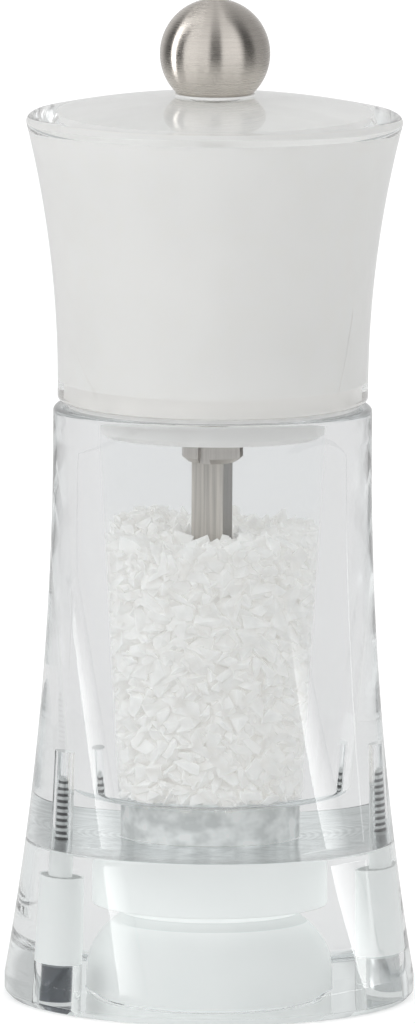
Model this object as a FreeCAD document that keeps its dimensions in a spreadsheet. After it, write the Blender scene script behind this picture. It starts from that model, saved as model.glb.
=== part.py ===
import FreeCAD, Part
import math
import os
import re
import Sketcher

# A hand mill for coarse salt: a clear flared body on a clear foot, a clear head over a white core,
# and a square shaft that carries the grinding cone. The knob on top sets how fine the mill grinds.
# The origin is on the surface that the mill stands on, on the mill's axis, with +Z up. Millimetres.

SIZES = {
    # Outside of the body, from the foot up
    "base_height": 22.3,
    "foot_radius": 28.7,
    "foot_height": 3.0,
    "foot_chamfer": 0.9,
    "reservoir_height": 61.0,
    "neck_radius": 22.3,
    "neck_height": 5.3,
    "edge_round": 0.8,
    # Chamber inside the body
    "mouth_depth": 4.9,
    "mouth_slope": 0.8,
    "chamber_top_radius": 16.0,
    "chamber_foot_radius": 13.3,
    "chamber_round": 1.2,
    "floor_thickness": 5.7,
    "throat_radius": 8.4,
    # Outlet below the grinder
    "outlet_radius": 11.6,
    "outlet_rim": 2.5,
    "outlet_height": 11.4,
    "outlet_throat": 8.2,
    "ledge_thickness": 1.0,
    # Long screws that hold the base
    "screw_circle": 16.9,
    "screw_turn": 13.0,
    "screw_radius": 1.5,
    "screw_pitch": 0.9,
    "screw_grip": 8.7,
    "screw_seat": 5.3,
    "screw_blind": 3.8,
    "screw_head_radius": 2.6,
    "screw_head_height": 2.0,
    "screw_slot_width": 0.8,
    "screw_slot_depth": 1.0,
    "screw_washer_thickness": 0.5,
    "screw_washer_radius": 2.8,
    "plug_inset": 0.3,
    "plug_length": 4.0,
    # Grinder
    "stator_radius": 11.0,
    "grind_throat": 6.4,
    "grind_mouth": 7.8,
    "grind_height": 3.5,
    "grind_gap": 0.7,
    "stator_tooth_depth": 0.7,
    "stator_teeth": 20,
    "stator_groove_width": 1.28,
    "key_width": 3.0,
    "key_depth": 0.9,
    "rotor_height": 4.2,
    "rotor_below": 1.2,
    "rotor_tooth_depth": 0.8,
    "rotor_teeth": 14,
    "rotor_twist": 22.0,
    "bridge_thickness": 1.0,
    "bridge_reach": 10.2,
    "bridge_width": 4.5,
    "bridge_eye_radius": 5.2,
    "bush_radius": 4.3,
    "bush_flange_radius": 5.0,
    "bush_flange_height": 0.6,
    "bush_collar": 0.4,
    "spring_wire": 0.5,
    "spring_radius": 4.3,
    "spring_turns": 4.0,
    # Shaft and what is fixed on it
    "shaft_side": 4.6,
    "shaft_turn": -17.0,
    "stud_radius": 1.95,
    "shaft_below_cap": 1.5,
    "stud_grip": 6.4,
    "stud_pitch": 0.7,
    "tail_radius": 2.2,
    "tail_end": 1.1,
    "tail_chamfer": 0.4,
    "clip_groove_depth": 0.5,
    "clip_thickness": 0.7,
    "clip_radius": 3.7,
    "clip_opening": 2.6,
    "rotor_washer_thickness": 0.6,
    "rotor_washer_radius": 4.6,
    "collar_radius": 4.3,
    "collar_height": 3.7,
    "collar_chamfer": 0.8,
    "collar_gap": 0.7,
    "collar_slot_width": 1.6,
    "collar_slot_depth": 0.9,
    # Head
    "head_foot_radius": 21.7,
    "head_rim_radius": 26.3,
    "head_straight": 2.1,
    "head_rim_height": 39.2,
    "head_wall": 4.3,
    "head_floor": 2.5,
    "head_hole_radius": 14.2,
    "rim_round": 1.1,
    "core_height": 36.1,
    "dome_rise": 2.8,
    "cap_ledge": 0.3,
    "cap_seat_radius": 6.2,
    "plug_radius": 15.9,
    "plug_height": 4.4,
    "plug_neck_radius": 13.9,
    "plate_side": 14.0,
    "plate_thickness": 2.0,
    "plug_screw_circle": 10.6,
    "plug_screw_radius": 1.25,
    "plug_screw_pitch": 0.8,
    "plug_screw_grip": 6.0,
    "plug_screw_head_radius": 2.2,
    "plug_screw_head_height": 1.6,
    "plug_screw_count": 3,
    "glide_thickness": 0.6,
    "glide_inner_radius": 17.2,
    "glide_width": 3.2,
    # Knob
    "knob_radius": 7.7,
    "knob_rise": 5.6,
    "knob_bore_depth": 7.6,
    "knob_washer_thickness": 0.3,
    "knob_washer_radius": 5.6,
    # Salt
    "salt_depth": 38.5,
    "salt_dip": 3.0,
    "salt_in_throat": 5.0,
    "salt_clearance": 0.3,
    # Fits
    "running_fit": 0.05,
    "plug_clearance": 0.2,
    "loose_fit": 0.3,
}

document = FreeCAD.newDocument("salt_mill")
sheet = document.addObject("Spreadsheet::Sheet", "sizes")
for row, (alias, size) in enumerate(SIZES.items(), start=1):
    sheet.set(f"A{row}", alias)
    sheet.set(f"B{row}", str(size))
    sheet.setAlias(f"B{row}", alias)
document.recompute()

UP = FreeCAD.Vector(0, 0, 1)
FULL_TURN = 360
# How far a cut reaches past the edge that it opens, as a factor
OVERCUT = 1.1
# A thread's ridge, as parts of its pitch: its depth, and where its narrow crest starts and ends
RIDGE_DEPTH = 0.45
CREST_START = 0.45
CREST_END = 0.55
# The point of a screw: its length as a part of the pitch, and its end as a part of the radius
POINT_LENGTH = 0.5
POINT_END = 0.45


def expand(text):
    """Write a formula of size names as an expression on the sheet's cells."""
    return re.sub(r"[a-z][a-z_]*", lambda word: "sizes." + word[0] if word[0] in SIZES else word[0], text)


def value(text):
    """The present value of a formula of size names."""
    return float(sheet.evalExpression(expand(text)))


def bind(thing, **formulas):
    """Bind properties of an object to formulas of size names."""
    for name, text in formulas.items():
        thing.setExpression(name, expand(text))


# Heights that several pieces share, as formulas of the sizes
PARTING = "base_height"
FLOOR = f"({PARTING} + floor_thickness)"
LIP = f"({PARTING} + reservoir_height)"
NECK = f"({LIP} - neck_height)"
HEAD_FOOT = f"({LIP} + glide_thickness)"
CORE_FOOT = f"({HEAD_FOOT} + head_floor)"
CORE_TOP = f"({CORE_FOOT} + core_height)"
HEAD_RIM = f"({HEAD_FOOT} + head_rim_height)"
PLUG_FOOT = f"({HEAD_FOOT} - plug_height)"
STATOR_FOOT = "(outlet_height + ledge_thickness)"
GRIND_TOP = f"({STATOR_FOOT} + grind_height)"
ROTOR_FOOT = f"({STATOR_FOOT} - rotor_below)"
ROTOR_TOP = f"({ROTOR_FOOT} + rotor_height)"
WASHER_FOOT = f"({ROTOR_FOOT} - rotor_washer_thickness)"
CLIP_FOOT = f"({WASHER_FOOT} - clip_thickness)"
TAIL_FOOT = f"({CLIP_FOOT} - tail_end)"
SHAFT_TOP = f"({CORE_TOP} - shaft_below_cap)"
COLLAR_TOP = f"({PLUG_FOOT} - collar_gap)"
COLLAR_FOOT = f"({COLLAR_TOP} - collar_height)"
BRIDGE_FOOT = f"({PARTING} - running_fit - bridge_thickness)"
BUSH_FOOT = f"({BRIDGE_FOOT} - running_fit - bush_flange_height)"
SCREW_SEAT = f"({PARTING} - screw_seat)"
SCREW_TIP = f"({PARTING} + screw_grip)"

# The body's flare is one arc, upright at the neck, which the base and the reservoir share
FLARE_OUT = "(foot_radius - neck_radius)"
FLARE_DROP = f"({NECK} - foot_height)"
FLARE_ARC = f"(({FLARE_OUT}^2 + {FLARE_DROP}^2) / (2 * {FLARE_OUT}))"
PARTING_RADIUS = f"(neck_radius + {FLARE_ARC} - sqrt({FLARE_ARC}^2 - ({NECK} - {PARTING})^2))"

# The head's flare is one arc too, upright above its foot
HEAD_STRAIGHT = f"({HEAD_FOOT} + head_straight)"
HEAD_OUT = "(head_rim_radius - head_foot_radius)"
HEAD_RISE = f"({HEAD_RIM} - {HEAD_STRAIGHT})"
HEAD_ARC = f"(({HEAD_OUT}^2 + {HEAD_RISE}^2) / (2 * {HEAD_OUT}))"


def head_radius(height):
    """Formula of the head's outer radius at a height above its straight foot."""
    return f"(head_foot_radius + {HEAD_ARC} - sqrt({HEAD_ARC}^2 - ({height} - {HEAD_STRAIGHT})^2))"


# The head's top is a dome that ends inside the rounded rim
DOME_EDGE = "(head_rim_radius - rim_round)"
DOME_EDGE_HEIGHT = f"({HEAD_RIM} + rim_round)"
DOME_TOP = f"({DOME_EDGE_HEIGHT} + dome_rise)"
DOME_ARC = f"(({DOME_EDGE}^2 + dome_rise^2) / (2 * dome_rise))"


def dome_height_at(radius):
    """Formula of the dome's height at a radius."""
    return f"({DOME_TOP} - {DOME_ARC} + sqrt({DOME_ARC}^2 - {radius}^2))"


CAP_SEAT = dome_height_at("cap_seat_radius")
KNOB_FOOT = f"({CAP_SEAT} + knob_washer_thickness)"
KNOB_CENTRE = f"({KNOB_FOOT} + knob_rise)"
STUD_TOP = f"({KNOB_FOOT} + stud_grip)"


def new_body(label, turn=None):
    """A body for one piece, turned about the axis by a size where it follows the shaft or the screws."""
    body = document.addObject("PartDesign::Body", label)
    body.Label = label
    if turn:
        body.Placement = FreeCAD.Placement(FreeCAD.Vector(), FreeCAD.Rotation(UP, value(turn)))
        body.setExpression("Placement.Rotation.Angle", expand(turn))
    return body


def new_sketch(body, name, plane, height=None):
    """An empty sketch on one of the body's own origin planes, raised to a height."""
    sketch = body.newObject("Sketcher::SketchObject", name)
    support = next(face for face in body.Origin.OriginFeatures if face.Role == plane)
    sketch.AttachmentSupport = (support, [""])
    sketch.MapMode = "FlatFace"
    if height:
        sketch.setExpression("AttachmentOffset.Base.z", expand(height))
    return sketch


def fix_point(sketch, geometry, end, across, along):
    """Hold one point of a sketch at a pair of formulas."""
    for text, kind, axis in ((across, "DistanceX", -2), (along, "DistanceY", -1)):
        if text == "0":
            sketch.addConstraint(Sketcher.Constraint("PointOnObject", geometry, end, axis))
            continue
        index = sketch.addConstraint(Sketcher.Constraint(kind, -1, 1, geometry, end, value(text)))
        sketch.setExpression(f"Constraints[{index}]", expand(text))


def arc_between(start, end, radius, side):
    """An arc of under a half circle, with its centre left (1) or right (-1) of the way it runs."""
    chord = end - start
    reach = math.sqrt(radius ** 2 - (chord.Length / 2) ** 2)
    normal = FreeCAD.Vector(-chord.y, chord.x, 0).normalize()
    centre = (start + end) / 2 + normal * reach * side
    first, last = (start, end) if side > 0 else (end, start)
    angles = [math.atan2(point.y - centre.y, point.x - centre.x) for point in (first, last)]
    return Part.ArcOfCircle(Part.Circle(centre, UP, radius), *angles)


def draw(sketch, corners):
    """A closed outline. A corner is a pair of formulas, then radius and side if an arc leaves it."""
    points = [FreeCAD.Vector(value(corner[0]), value(corner[1]), 0) for corner in corners]
    first = sketch.GeometryCount
    ends = []
    for index, corner in enumerate(corners):
        start = points[index]
        end = points[(index + 1) % len(points)]
        if len(corner) == 2:
            sketch.addGeometry(Part.LineSegment(start, end), False)
            ends.append((1, 2))
            continue
        radius, side = corner[2:]
        edge = sketch.addGeometry(arc_between(start, end, value(radius), side), False)
        ends.append((1, 2) if side > 0 else (2, 1))
        held = sketch.addConstraint(Sketcher.Constraint("Radius", edge, value(radius)))
        sketch.setExpression(f"Constraints[{held}]", expand(radius))
    for index, corner in enumerate(corners):
        here = first + index
        before = first + (index - 1) % len(corners)
        joint = (before, ends[index - 1][1], here, ends[index][0])
        sketch.addConstraint(Sketcher.Constraint("Coincident", *joint))
        fix_point(sketch, here, ends[index][0], corner[0], corner[1])


def circle(sketch, across, along, radius):
    """A circle about a point given by two formulas."""
    centre = FreeCAD.Vector(value(across), value(along), 0)
    edge = sketch.addGeometry(Part.Circle(centre, UP, value(radius)), False)
    held = sketch.addConstraint(Sketcher.Constraint("Radius", edge, value(radius)))
    sketch.setExpression(f"Constraints[{held}]", expand(radius))
    fix_point(sketch, edge, 3, across, along)


def square(half, other=None):
    """The corners of a square or rectangle about the axis, from formulas of its half sides."""
    other = other or half
    return [(f"-({half})", f"-({other})"), (half, f"-({other})"), (half, other), (f"-({half})", other)]


def revolve(body, corners):
    """Turn an outline of radii and heights round the mill's axis."""
    sketch = new_sketch(body, body.Label + "_outline", "XZ_Plane")
    draw(sketch, corners)
    turn = body.newObject("PartDesign::Revolution", body.Label + "_turn")
    turn.Profile = sketch
    turn.ReferenceAxis = (sketch, ["V_Axis"])
    turn.Angle = FULL_TURN
    document.recompute()
    return turn


def pad(body, name, height, length, paint):
    """Raise what paint draws at a height by a length."""
    sketch = new_sketch(body, name + "_outline", "XY_Plane", height)
    paint(sketch)
    feature = body.newObject("PartDesign::Pad", name)
    feature.Profile = sketch
    bind(feature, Length=length)
    document.recompute()
    return feature


def cut_up(body, name, height, depth, paint):
    """Cut upwards what paint draws at a height, and make sure that the cut takes material away."""
    before = body.Shape.Volume
    sketch = new_sketch(body, name + "_outline", "XY_Plane", height)
    paint(sketch)
    feature = body.newObject("PartDesign::Pocket", name)
    feature.Profile = sketch
    feature.Reversed = True
    bind(feature, Length=depth)
    document.recompute()
    if not body.Shape.Volume < before:
        raise RuntimeError(f"{name} cuts nothing")
    return feature


def repeat(body, feature, sketch, count):
    """Repeat a feature evenly round the sketch's own axis."""
    pattern = body.newObject("PartDesign::PolarPattern", feature.Label + "_repeat")
    pattern.Originals = [feature]
    pattern.Axis = (sketch, ["N_Axis"])
    pattern.Angle = FULL_TURN
    bind(pattern, Occurrences=count)
    body.Tip = pattern
    document.recompute()
    return pattern


def feature_piece(label, shape):
    """A piece whose solid comes straight from a shape."""
    piece = document.addObject("Part::Feature", label)
    piece.Label = label
    piece.Shape = shape
    return piece


def threaded_rod(radius, pitch, foot, tip):
    """Outline of a screw's thread as a row of ridges, from its foot up to its tip and in to the axis."""
    ridges = int((value(tip) - value(foot)) / value(pitch)) - 1
    root = f"({radius} - {pitch} * {RIDGE_DEPTH})"
    corners = []
    for index in range(ridges):
        low = f"({foot} + {pitch} * {index})"
        corners.append((root, low))
        corners.append((radius, f"({low} + {pitch} * {CREST_START})"))
        corners.append((radius, f"({low} + {pitch} * {CREST_END})"))
    corners.append((root, f"({foot} + {pitch} * {ridges})"))
    corners.append((root, f"({tip} - {pitch} * {POINT_LENGTH})"))
    corners.append((f"({radius} * {POINT_END})", tip))
    corners.append(("0", tip))
    return corners


def screw_pair(sketch, radius):
    """Two circles where the long screws are."""
    for side in ("", "-"):
        circle(sketch, f"{side}screw_circle", "0", radius)


# Reservoir: flared body with a tapered chamber, a mouth for the plug and a floor with a round throat
reservoir = new_body("reservoir", turn="screw_turn")
MOUTH_RADIUS = "(plug_radius + plug_clearance)"
MOUTH_FOOT = f"({LIP} - mouth_depth)"
revolve(reservoir, [
    (PARTING_RADIUS, PARTING, FLARE_ARC, -1),
    ("neck_radius", NECK),
    ("neck_radius", f"({LIP} - edge_round)", "edge_round", 1),
    ("(neck_radius - edge_round)", LIP),
    (f"({MOUTH_RADIUS} + edge_round)", LIP, "edge_round", 1),
    (MOUTH_RADIUS, f"({LIP} - edge_round)"),
    (MOUTH_RADIUS, MOUTH_FOOT),
    ("chamber_top_radius", f"({MOUTH_FOOT} - mouth_slope)"),
    ("chamber_foot_radius", f"({FLOOR} + chamber_round)", "chamber_round", -1),
    ("(chamber_foot_radius - chamber_round)", FLOOR),
    ("throat_radius", FLOOR),
    ("throat_radius", PARTING),
])
cut_up(reservoir, "blind_holes", PARTING, "screw_grip + screw_blind",
       lambda sketch: screw_pair(sketch, "screw_radius + running_fit"))

# Base: foot with a bell-shaped outlet, a pocket for the stator and two deep screw holes
base = new_body("base", turn="screw_turn")
BELL_OUT = "(outlet_radius - outlet_throat)"
BELL_ARC = f"(({BELL_OUT}^2 + (outlet_height - outlet_rim)^2) / (2 * {BELL_OUT}))"
revolve(base, [
    ("outlet_radius", "0"),
    ("(foot_radius - foot_chamfer)", "0"),
    ("foot_radius", "foot_chamfer"),
    ("foot_radius", "foot_height", FLARE_ARC, -1),
    (PARTING_RADIUS, PARTING),
    ("(stator_radius + running_fit)", PARTING),
    ("(stator_radius + running_fit)", STATOR_FOOT),
    ("outlet_throat", STATOR_FOOT),
    ("outlet_throat", "outlet_height", BELL_ARC, -1),
    ("outlet_radius", "outlet_rim"),
])
STATOR_HEIGHT = f"({PARTING} - {STATOR_FOOT})"
KEY_REACH = "(stator_radius + key_depth)"


def key_corners(gap):
    """The corners of the stator's key at the back, widened by a gap."""
    half = f"(key_width / 2 + {gap})"
    root = f"({KEY_REACH} - 2 * key_depth)"
    tip = f"({KEY_REACH} + {gap})"
    return [(f"-{half}", root), (half, root), (half, tip), (f"-{half}", tip)]


cut_up(base, "key_slot", STATOR_FOOT, STATOR_HEIGHT, lambda sketch: draw(sketch, key_corners("running_fit")))
cut_up(base, "head_holes", None, SCREW_SEAT,
       lambda sketch: screw_pair(sketch, "screw_washer_radius + loose_fit"))
cut_up(base, "shank_holes", None, PARTING,
       lambda sketch: screw_pair(sketch, "screw_radius + loose_fit / 2"))

# Stator: ring with a funnel above a flared, grooved grinding throat, a key that stops it turning and a slot
# for the bridge
stator = new_body("stator", turn="screw_turn")
revolve(stator, [
    ("grind_mouth", STATOR_FOOT),
    ("stator_radius", STATOR_FOOT),
    ("stator_radius", PARTING),
    ("throat_radius", PARTING),
    ("grind_throat", GRIND_TOP),
])
pad(stator, "key", STATOR_FOOT, STATOR_HEIGHT, lambda sketch: draw(sketch, key_corners("0")))
cut_up(stator, "bridge_slot", BRIDGE_FOOT, f"{PARTING} - {BRIDGE_FOOT}",
       lambda sketch: draw(sketch, square("bridge_reach + running_fit", "bridge_width / 2 + running_fit")))
GROOVE_TIP = "(grind_mouth + stator_tooth_depth)"
GROOVE_HALF = "(stator_groove_width / 2)"
groove = cut_up(stator, "groove", STATOR_FOOT, "grind_height",
                lambda sketch: draw(sketch, [
                    ("grind_throat - stator_tooth_depth", f"-{GROOVE_HALF}"),
                    (GROOVE_TIP, "0"),
                    ("grind_throat - stator_tooth_depth", GROOVE_HALF),
                ]))
repeat(stator, groove, groove.Profile[0], "stator_teeth")

# Bridge: flat bar with an eye that lies in the stator's slot, below the body's floor
bridge = new_body("bridge", turn="screw_turn")
pad(bridge, "bar", BRIDGE_FOOT, "bridge_thickness",
    lambda sketch: draw(sketch, square("bridge_reach", "bridge_width / 2")))
pad(bridge, "eye", BRIDGE_FOOT, "bridge_thickness",
    lambda sketch: circle(sketch, "0", "0", "bridge_eye_radius"))
cut_up(bridge, "eye_hole", BRIDGE_FOOT, "bridge_thickness",
       lambda sketch: circle(sketch, "0", "0", "bush_radius + running_fit"))

# Holes for the shaft: a square one that turns with it, and a round one that clears its corners
SHAFT_HOLE = "shaft_side / 2 + running_fit"
SHAFT_BORE = "(shaft_side / sqrt(2) + loose_fit)"


def square_hole(body, foot, depth):
    """Cut the shaft's square hole through a piece."""
    cut_up(body, body.Label + "_hole", foot, depth, lambda sketch: draw(sketch, square(SHAFT_HOLE)))


# Bridge bush: turns in the eye and lets the square shaft slide
bridge_bush = new_body("bridge_bush", turn="shaft_turn")
BUSH_TOP = f"({PARTING} + bush_collar)"
revolve(bridge_bush, [
    ("0", BUSH_FOOT),
    ("bush_flange_radius", BUSH_FOOT),
    ("bush_flange_radius", f"({BUSH_FOOT} + bush_flange_height)"),
    ("bush_radius", f"({BUSH_FOOT} + bush_flange_height)"),
    ("bush_radius", BUSH_TOP),
    ("0", BUSH_TOP),
])
square_hole(bridge_bush, BUSH_FOOT, f"{BUSH_TOP} - {BUSH_FOOT}")

# Spindle: square shaft with a threaded stud for the knob and a grooved round tail for the clip
spindle = new_body("spindle", turn="shaft_turn")
GROOVE_RADIUS = "(tail_radius - clip_groove_depth)"
revolve(spindle, [
    ("0", TAIL_FOOT),
    ("(tail_radius - tail_chamfer)", TAIL_FOOT),
    ("tail_radius", f"({TAIL_FOOT} + tail_chamfer)"),
    ("tail_radius", f"({CLIP_FOOT} - running_fit)"),
    (GROOVE_RADIUS, f"({CLIP_FOOT} - running_fit)"),
    (GROOVE_RADIUS, WASHER_FOOT),
    ("tail_radius", WASHER_FOOT),
    ("tail_radius", SHAFT_TOP),
] + threaded_rod("stud_radius", "stud_pitch", SHAFT_TOP, STUD_TOP))
SQUARE_FOOT = f"({ROTOR_FOOT} + running_fit)"
pad(spindle, "shaft", SQUARE_FOOT, f"{SHAFT_TOP} - {SQUARE_FOOT}",
    lambda sketch: draw(sketch, square("shaft_side / 2")))

# Stop collar: slotted ring on the shaft below the plug
stop_collar = new_body("stop_collar", turn="shaft_turn")
revolve(stop_collar, [
    ("0", COLLAR_FOOT),
    ("(collar_radius - collar_chamfer)", COLLAR_FOOT),
    ("collar_radius", f"({COLLAR_FOOT} + collar_chamfer)"),
    ("collar_radius", COLLAR_TOP),
    ("0", COLLAR_TOP),
])
square_hole(stop_collar, COLLAR_FOOT, "collar_height")
slot = cut_up(stop_collar, "slot", COLLAR_FOOT, "collar_height",
              lambda sketch: draw(sketch, [
                  ("collar_radius - collar_slot_depth", "-collar_slot_width / 2"),
                  (f"collar_radius * {OVERCUT}", "-collar_slot_width / 2"),
                  (f"collar_radius * {OVERCUT}", "collar_slot_width / 2"),
                  ("collar_radius - collar_slot_depth", "collar_slot_width / 2"),
              ]))
repeat(stop_collar, slot, slot.Profile[0], "4")


def star(height, tip, depth, teeth, turn):
    """A closed wire of teeth at a height, turned about the axis."""
    points = []
    for index in range(2 * teeth):
        radius = tip - depth * (index % 2)
        angle = math.radians(turn) + math.pi * index / teeth
        points.append(FreeCAD.Vector(radius * math.cos(angle), radius * math.sin(angle), height))
    return Part.makePolygon(points + points[:1])


def rotor_solid():
    """Grinding cone with slanting teeth, parallel to the stator's throat, with the shaft's square hole."""
    slope = value("(grind_mouth - grind_throat) / grind_height")
    ends = []
    for height, turn in ((value(ROTOR_FOOT), 0), (value(ROTOR_TOP), value("rotor_twist"))):
        tip = value("grind_mouth - grind_gap") - slope * (height - value(STATOR_FOOT))
        ends.append(star(height, tip, value("rotor_tooth_depth"), int(value("rotor_teeth")), turn))
    cone = Part.makeLoft(ends, True, True)
    side = value(SHAFT_HOLE) * 2
    corner = FreeCAD.Vector(-side / 2, -side / 2, value(ROTOR_FOOT))
    return cone.cut(Part.makeBox(side, side, value("rotor_height"), corner))


rotor = feature_piece("rotor", rotor_solid())
rotor.Placement = FreeCAD.Placement(FreeCAD.Vector(), FreeCAD.Rotation(UP, value("shaft_turn")))


def biarc(start, end, leaving, arriving):
    """Two arcs that join two points smoothly in the given directions."""
    span = end - start
    both = leaving + arriving
    bend = 2 * (1 - leaving.dot(arriving))
    reach = (math.sqrt(span.dot(both) ** 2 + bend * span.dot(span)) - span.dot(both)) / bend
    before = start + leaving * reach
    after = end - arriving * reach
    middle = (before + after) / 2
    return [arc_by_apex(start, middle, before), arc_by_apex(middle, end, after)]


def arc_by_apex(start, end, apex):
    """The arc between two points whose end tangents meet at an apex."""
    turn = (apex - start).getAngle(end - apex)
    rise = (apex - (start + end) / 2).normalize() * (end - start).Length / 2 * math.tan(turn / 4)
    return Part.Arc(start, (start + end) / 2 + rise, end).toShape()


def spring_solid():
    """Open coil between the rotor and the bush's flange, as one tube on arcs of a quarter turn."""
    wire = value("spring_wire")
    radius = value("spring_radius")
    turns = value("spring_turns")
    low = value(ROTOR_TOP) + wire / 2 + value("running_fit")
    high = value(BUSH_FOOT) - wire / 2 - value("running_fit")
    rise = (high - low) / (2 * math.pi * turns)

    def place(angle):
        return FreeCAD.Vector(radius * math.cos(angle), radius * math.sin(angle), low + rise * angle)

    def heading(angle):
        return FreeCAD.Vector(-radius * math.sin(angle), radius * math.cos(angle), rise).normalize()

    quarters = round(4 * turns)
    step = 2 * math.pi * turns / quarters
    edges = []
    for index in range(quarters):
        first, last = index * step, (index + 1) * step
        edges += biarc(place(first), place(last), heading(first), heading(last))
    path = Part.Wire(edges)
    section = Part.Wire(Part.makeCircle(wire / 2, place(0), heading(0)))
    coil = path.makePipeShell([section], True, False)
    samples = [place(step * index / 6) for index in range(6 * quarters + 1)]
    per_turn = round(12 * math.pi / step)
    gaps = [(a - b).Length - wire for i, a in enumerate(samples) for b in samples[i + per_turn // 2:]]
    print(f"spring: least gap to itself {min(gaps):.2f} mm, volume {coil.Volume:.1f} mm3, "
          f"section times length {math.pi * wire ** 2 / 4 * path.Length:.1f} mm3")
    return coil


spring = feature_piece("spring", spring_solid())

# Washer and clip that hold the rotor up on the shaft's tail
rotor_washer = new_body("rotor_washer", turn="shaft_turn")
revolve(rotor_washer, [
    ("(tail_radius + running_fit)", WASHER_FOOT),
    ("rotor_washer_radius", WASHER_FOOT),
    ("rotor_washer_radius", ROTOR_FOOT),
    ("(tail_radius + running_fit)", ROTOR_FOOT),
])
rotor_clip = new_body("rotor_clip", turn="shaft_turn")
revolve(rotor_clip, [
    (f"({GROOVE_RADIUS} + running_fit)", CLIP_FOOT),
    ("clip_radius", CLIP_FOOT),
    ("clip_radius", WASHER_FOOT),
    (f"({GROOVE_RADIUS} + running_fit)", WASHER_FOOT),
])
cut_up(rotor_clip, "opening", CLIP_FOOT, "clip_thickness",
       lambda sketch: draw(sketch, [
           ("0", "-clip_opening / 2"),
           (f"clip_radius * {OVERCUT}", "-clip_opening / 2"),
           (f"clip_radius * {OVERCUT}", "clip_opening / 2"),
           ("0", "clip_opening / 2"),
       ]))


def slotted_screw(label, head_foot, head_radius_text, head_height, shank, thread_foot, tip, pitch):
    """A screw with its slotted head below and its thread up, on the axis, as a shape to copy."""
    screw = new_body(label)
    head_top = f"({head_foot} + {head_height})"
    revolve(screw, [
        ("0", head_foot),
        (head_radius_text, head_foot),
        (head_radius_text, head_top),
        (shank, head_top),
        (shank, thread_foot),
    ] + threaded_rod(shank, pitch, thread_foot, tip))
    cut_up(screw, label + "_slot", head_foot, "screw_slot_depth",
           lambda sketch: draw(sketch, square(f"{head_radius_text} * {OVERCUT}", "screw_slot_width / 2")))
    return screw


def group(label, body, places):
    """One piece made of separate copies of a body's solid."""
    copies = []
    for place in places:
        copy = body.Shape.copy()
        copy.translate(place)
        copies.append(copy)
    return feature_piece(label, Part.makeCompound(copies))


# Long screws and their washers, left and right, from below
screw_line = FreeCAD.Rotation(UP, value("screw_turn")).multVec(FreeCAD.Vector(value("screw_circle"), 0, 0))
screw_places = [screw_line, -screw_line]
WASHER_SEAT = f"({SCREW_SEAT} - screw_washer_thickness)"
long_screw = slotted_screw("long_screw", f"({WASHER_SEAT} - screw_head_height)", "screw_head_radius",
                           "screw_head_height", "screw_radius", PARTING, SCREW_TIP, "screw_pitch")
base_screws = group("base_screws", long_screw, screw_places)
screw_washer = new_body("screw_washer")
revolve(screw_washer, [
    ("(screw_radius + running_fit)", WASHER_SEAT),
    ("screw_washer_radius", WASHER_SEAT),
    ("screw_washer_radius", SCREW_SEAT),
    ("(screw_radius + running_fit)", SCREW_SEAT),
])
screw_washers = group("screw_washers", screw_washer, screw_places)

# Foot plugs: close the screw holes from below
foot_plug = new_body("foot_plug")
revolve(foot_plug, [
    ("0", "plug_inset"),
    ("(screw_washer_radius + loose_fit - running_fit)", "plug_inset"),
    ("(screw_washer_radius + loose_fit - running_fit)", "(plug_inset + plug_length)"),
    ("0", "(plug_inset + plug_length)"),
])
foot_plugs = group("foot_plugs", foot_plug, screw_places)

# Salt: fills the chamber round the shaft, with a dip in its top
salt_charge = new_body("salt_charge")
SALT_FOOT = f"({FLOOR} + salt_clearance)"
SALT_TOP = f"({FLOOR} + salt_depth)"
TAPER_FOOT = f"({FLOOR} + chamber_round)"
TAPER_RISE = f"({MOUTH_FOOT} - mouth_slope - {TAPER_FOOT})"
TAPER = f"((chamber_top_radius - chamber_foot_radius) / {TAPER_RISE})"
SALT_RIM = f"(chamber_foot_radius + {TAPER} * ({SALT_TOP} - {TAPER_FOOT}) - salt_clearance)"
revolve(salt_charge, [
    (SHAFT_BORE, f"({FLOOR} - salt_in_throat)"),
    ("(throat_radius - salt_clearance)", f"({FLOOR} - salt_in_throat)"),
    ("(throat_radius - salt_clearance)", SALT_FOOT),
    ("(chamber_foot_radius - chamber_round)", SALT_FOOT, "(chamber_round - salt_clearance)", 1),
    ("(chamber_foot_radius - salt_clearance)", TAPER_FOOT),
    (SALT_RIM, SALT_TOP),
    (SHAFT_BORE, f"({SALT_TOP} - salt_dip)"),
])

# Glide ring: lies on the lip, and the head turns on it
glide_ring = new_body("glide_ring")
revolve(glide_ring, [
    ("glide_inner_radius", LIP),
    ("(glide_inner_radius + glide_width)", LIP),
    ("(glide_inner_radius + glide_width)", f"({HEAD_FOOT} - running_fit)"),
    ("glide_inner_radius", f"({HEAD_FOOT} - running_fit)"),
])


def core_radius(height, gap):
    """Formula of the radius inside the head's wall at a height, less a gap."""
    return (f"(head_foot_radius + {HEAD_ARC} - "
            f"sqrt(({HEAD_ARC} + head_wall + {gap})^2 - ({height} - {HEAD_STRAIGHT})^2))")


# The cap rests on the core and on a narrow ledge of the shell round it
CAP_RADIUS = f"({core_radius(CORE_TOP, '0')} + cap_ledge)"

# Head shell: flared clear tube with a floor below and a rounded rim
head_shell = new_body("head_shell", turn="shaft_turn")
revolve(head_shell, [
    ("head_hole_radius", HEAD_FOOT),
    ("(head_foot_radius - edge_round)", HEAD_FOOT, "edge_round", 1),
    ("head_foot_radius", f"({HEAD_FOOT} + edge_round)"),
    ("head_foot_radius", HEAD_STRAIGHT, HEAD_ARC, -1),
    ("head_rim_radius", HEAD_RIM, "rim_round", 1),
    (DOME_EDGE, DOME_EDGE_HEIGHT, DOME_ARC, 1),
    (CAP_RADIUS, dome_height_at(CAP_RADIUS)),
    (CAP_RADIUS, CORE_TOP),
    (core_radius(CORE_TOP, "0"), CORE_TOP, f"({HEAD_ARC} + head_wall)", 1),
    (core_radius(CORE_FOOT, "0"), CORE_FOOT),
    ("head_hole_radius", CORE_FOOT),
])

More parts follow.
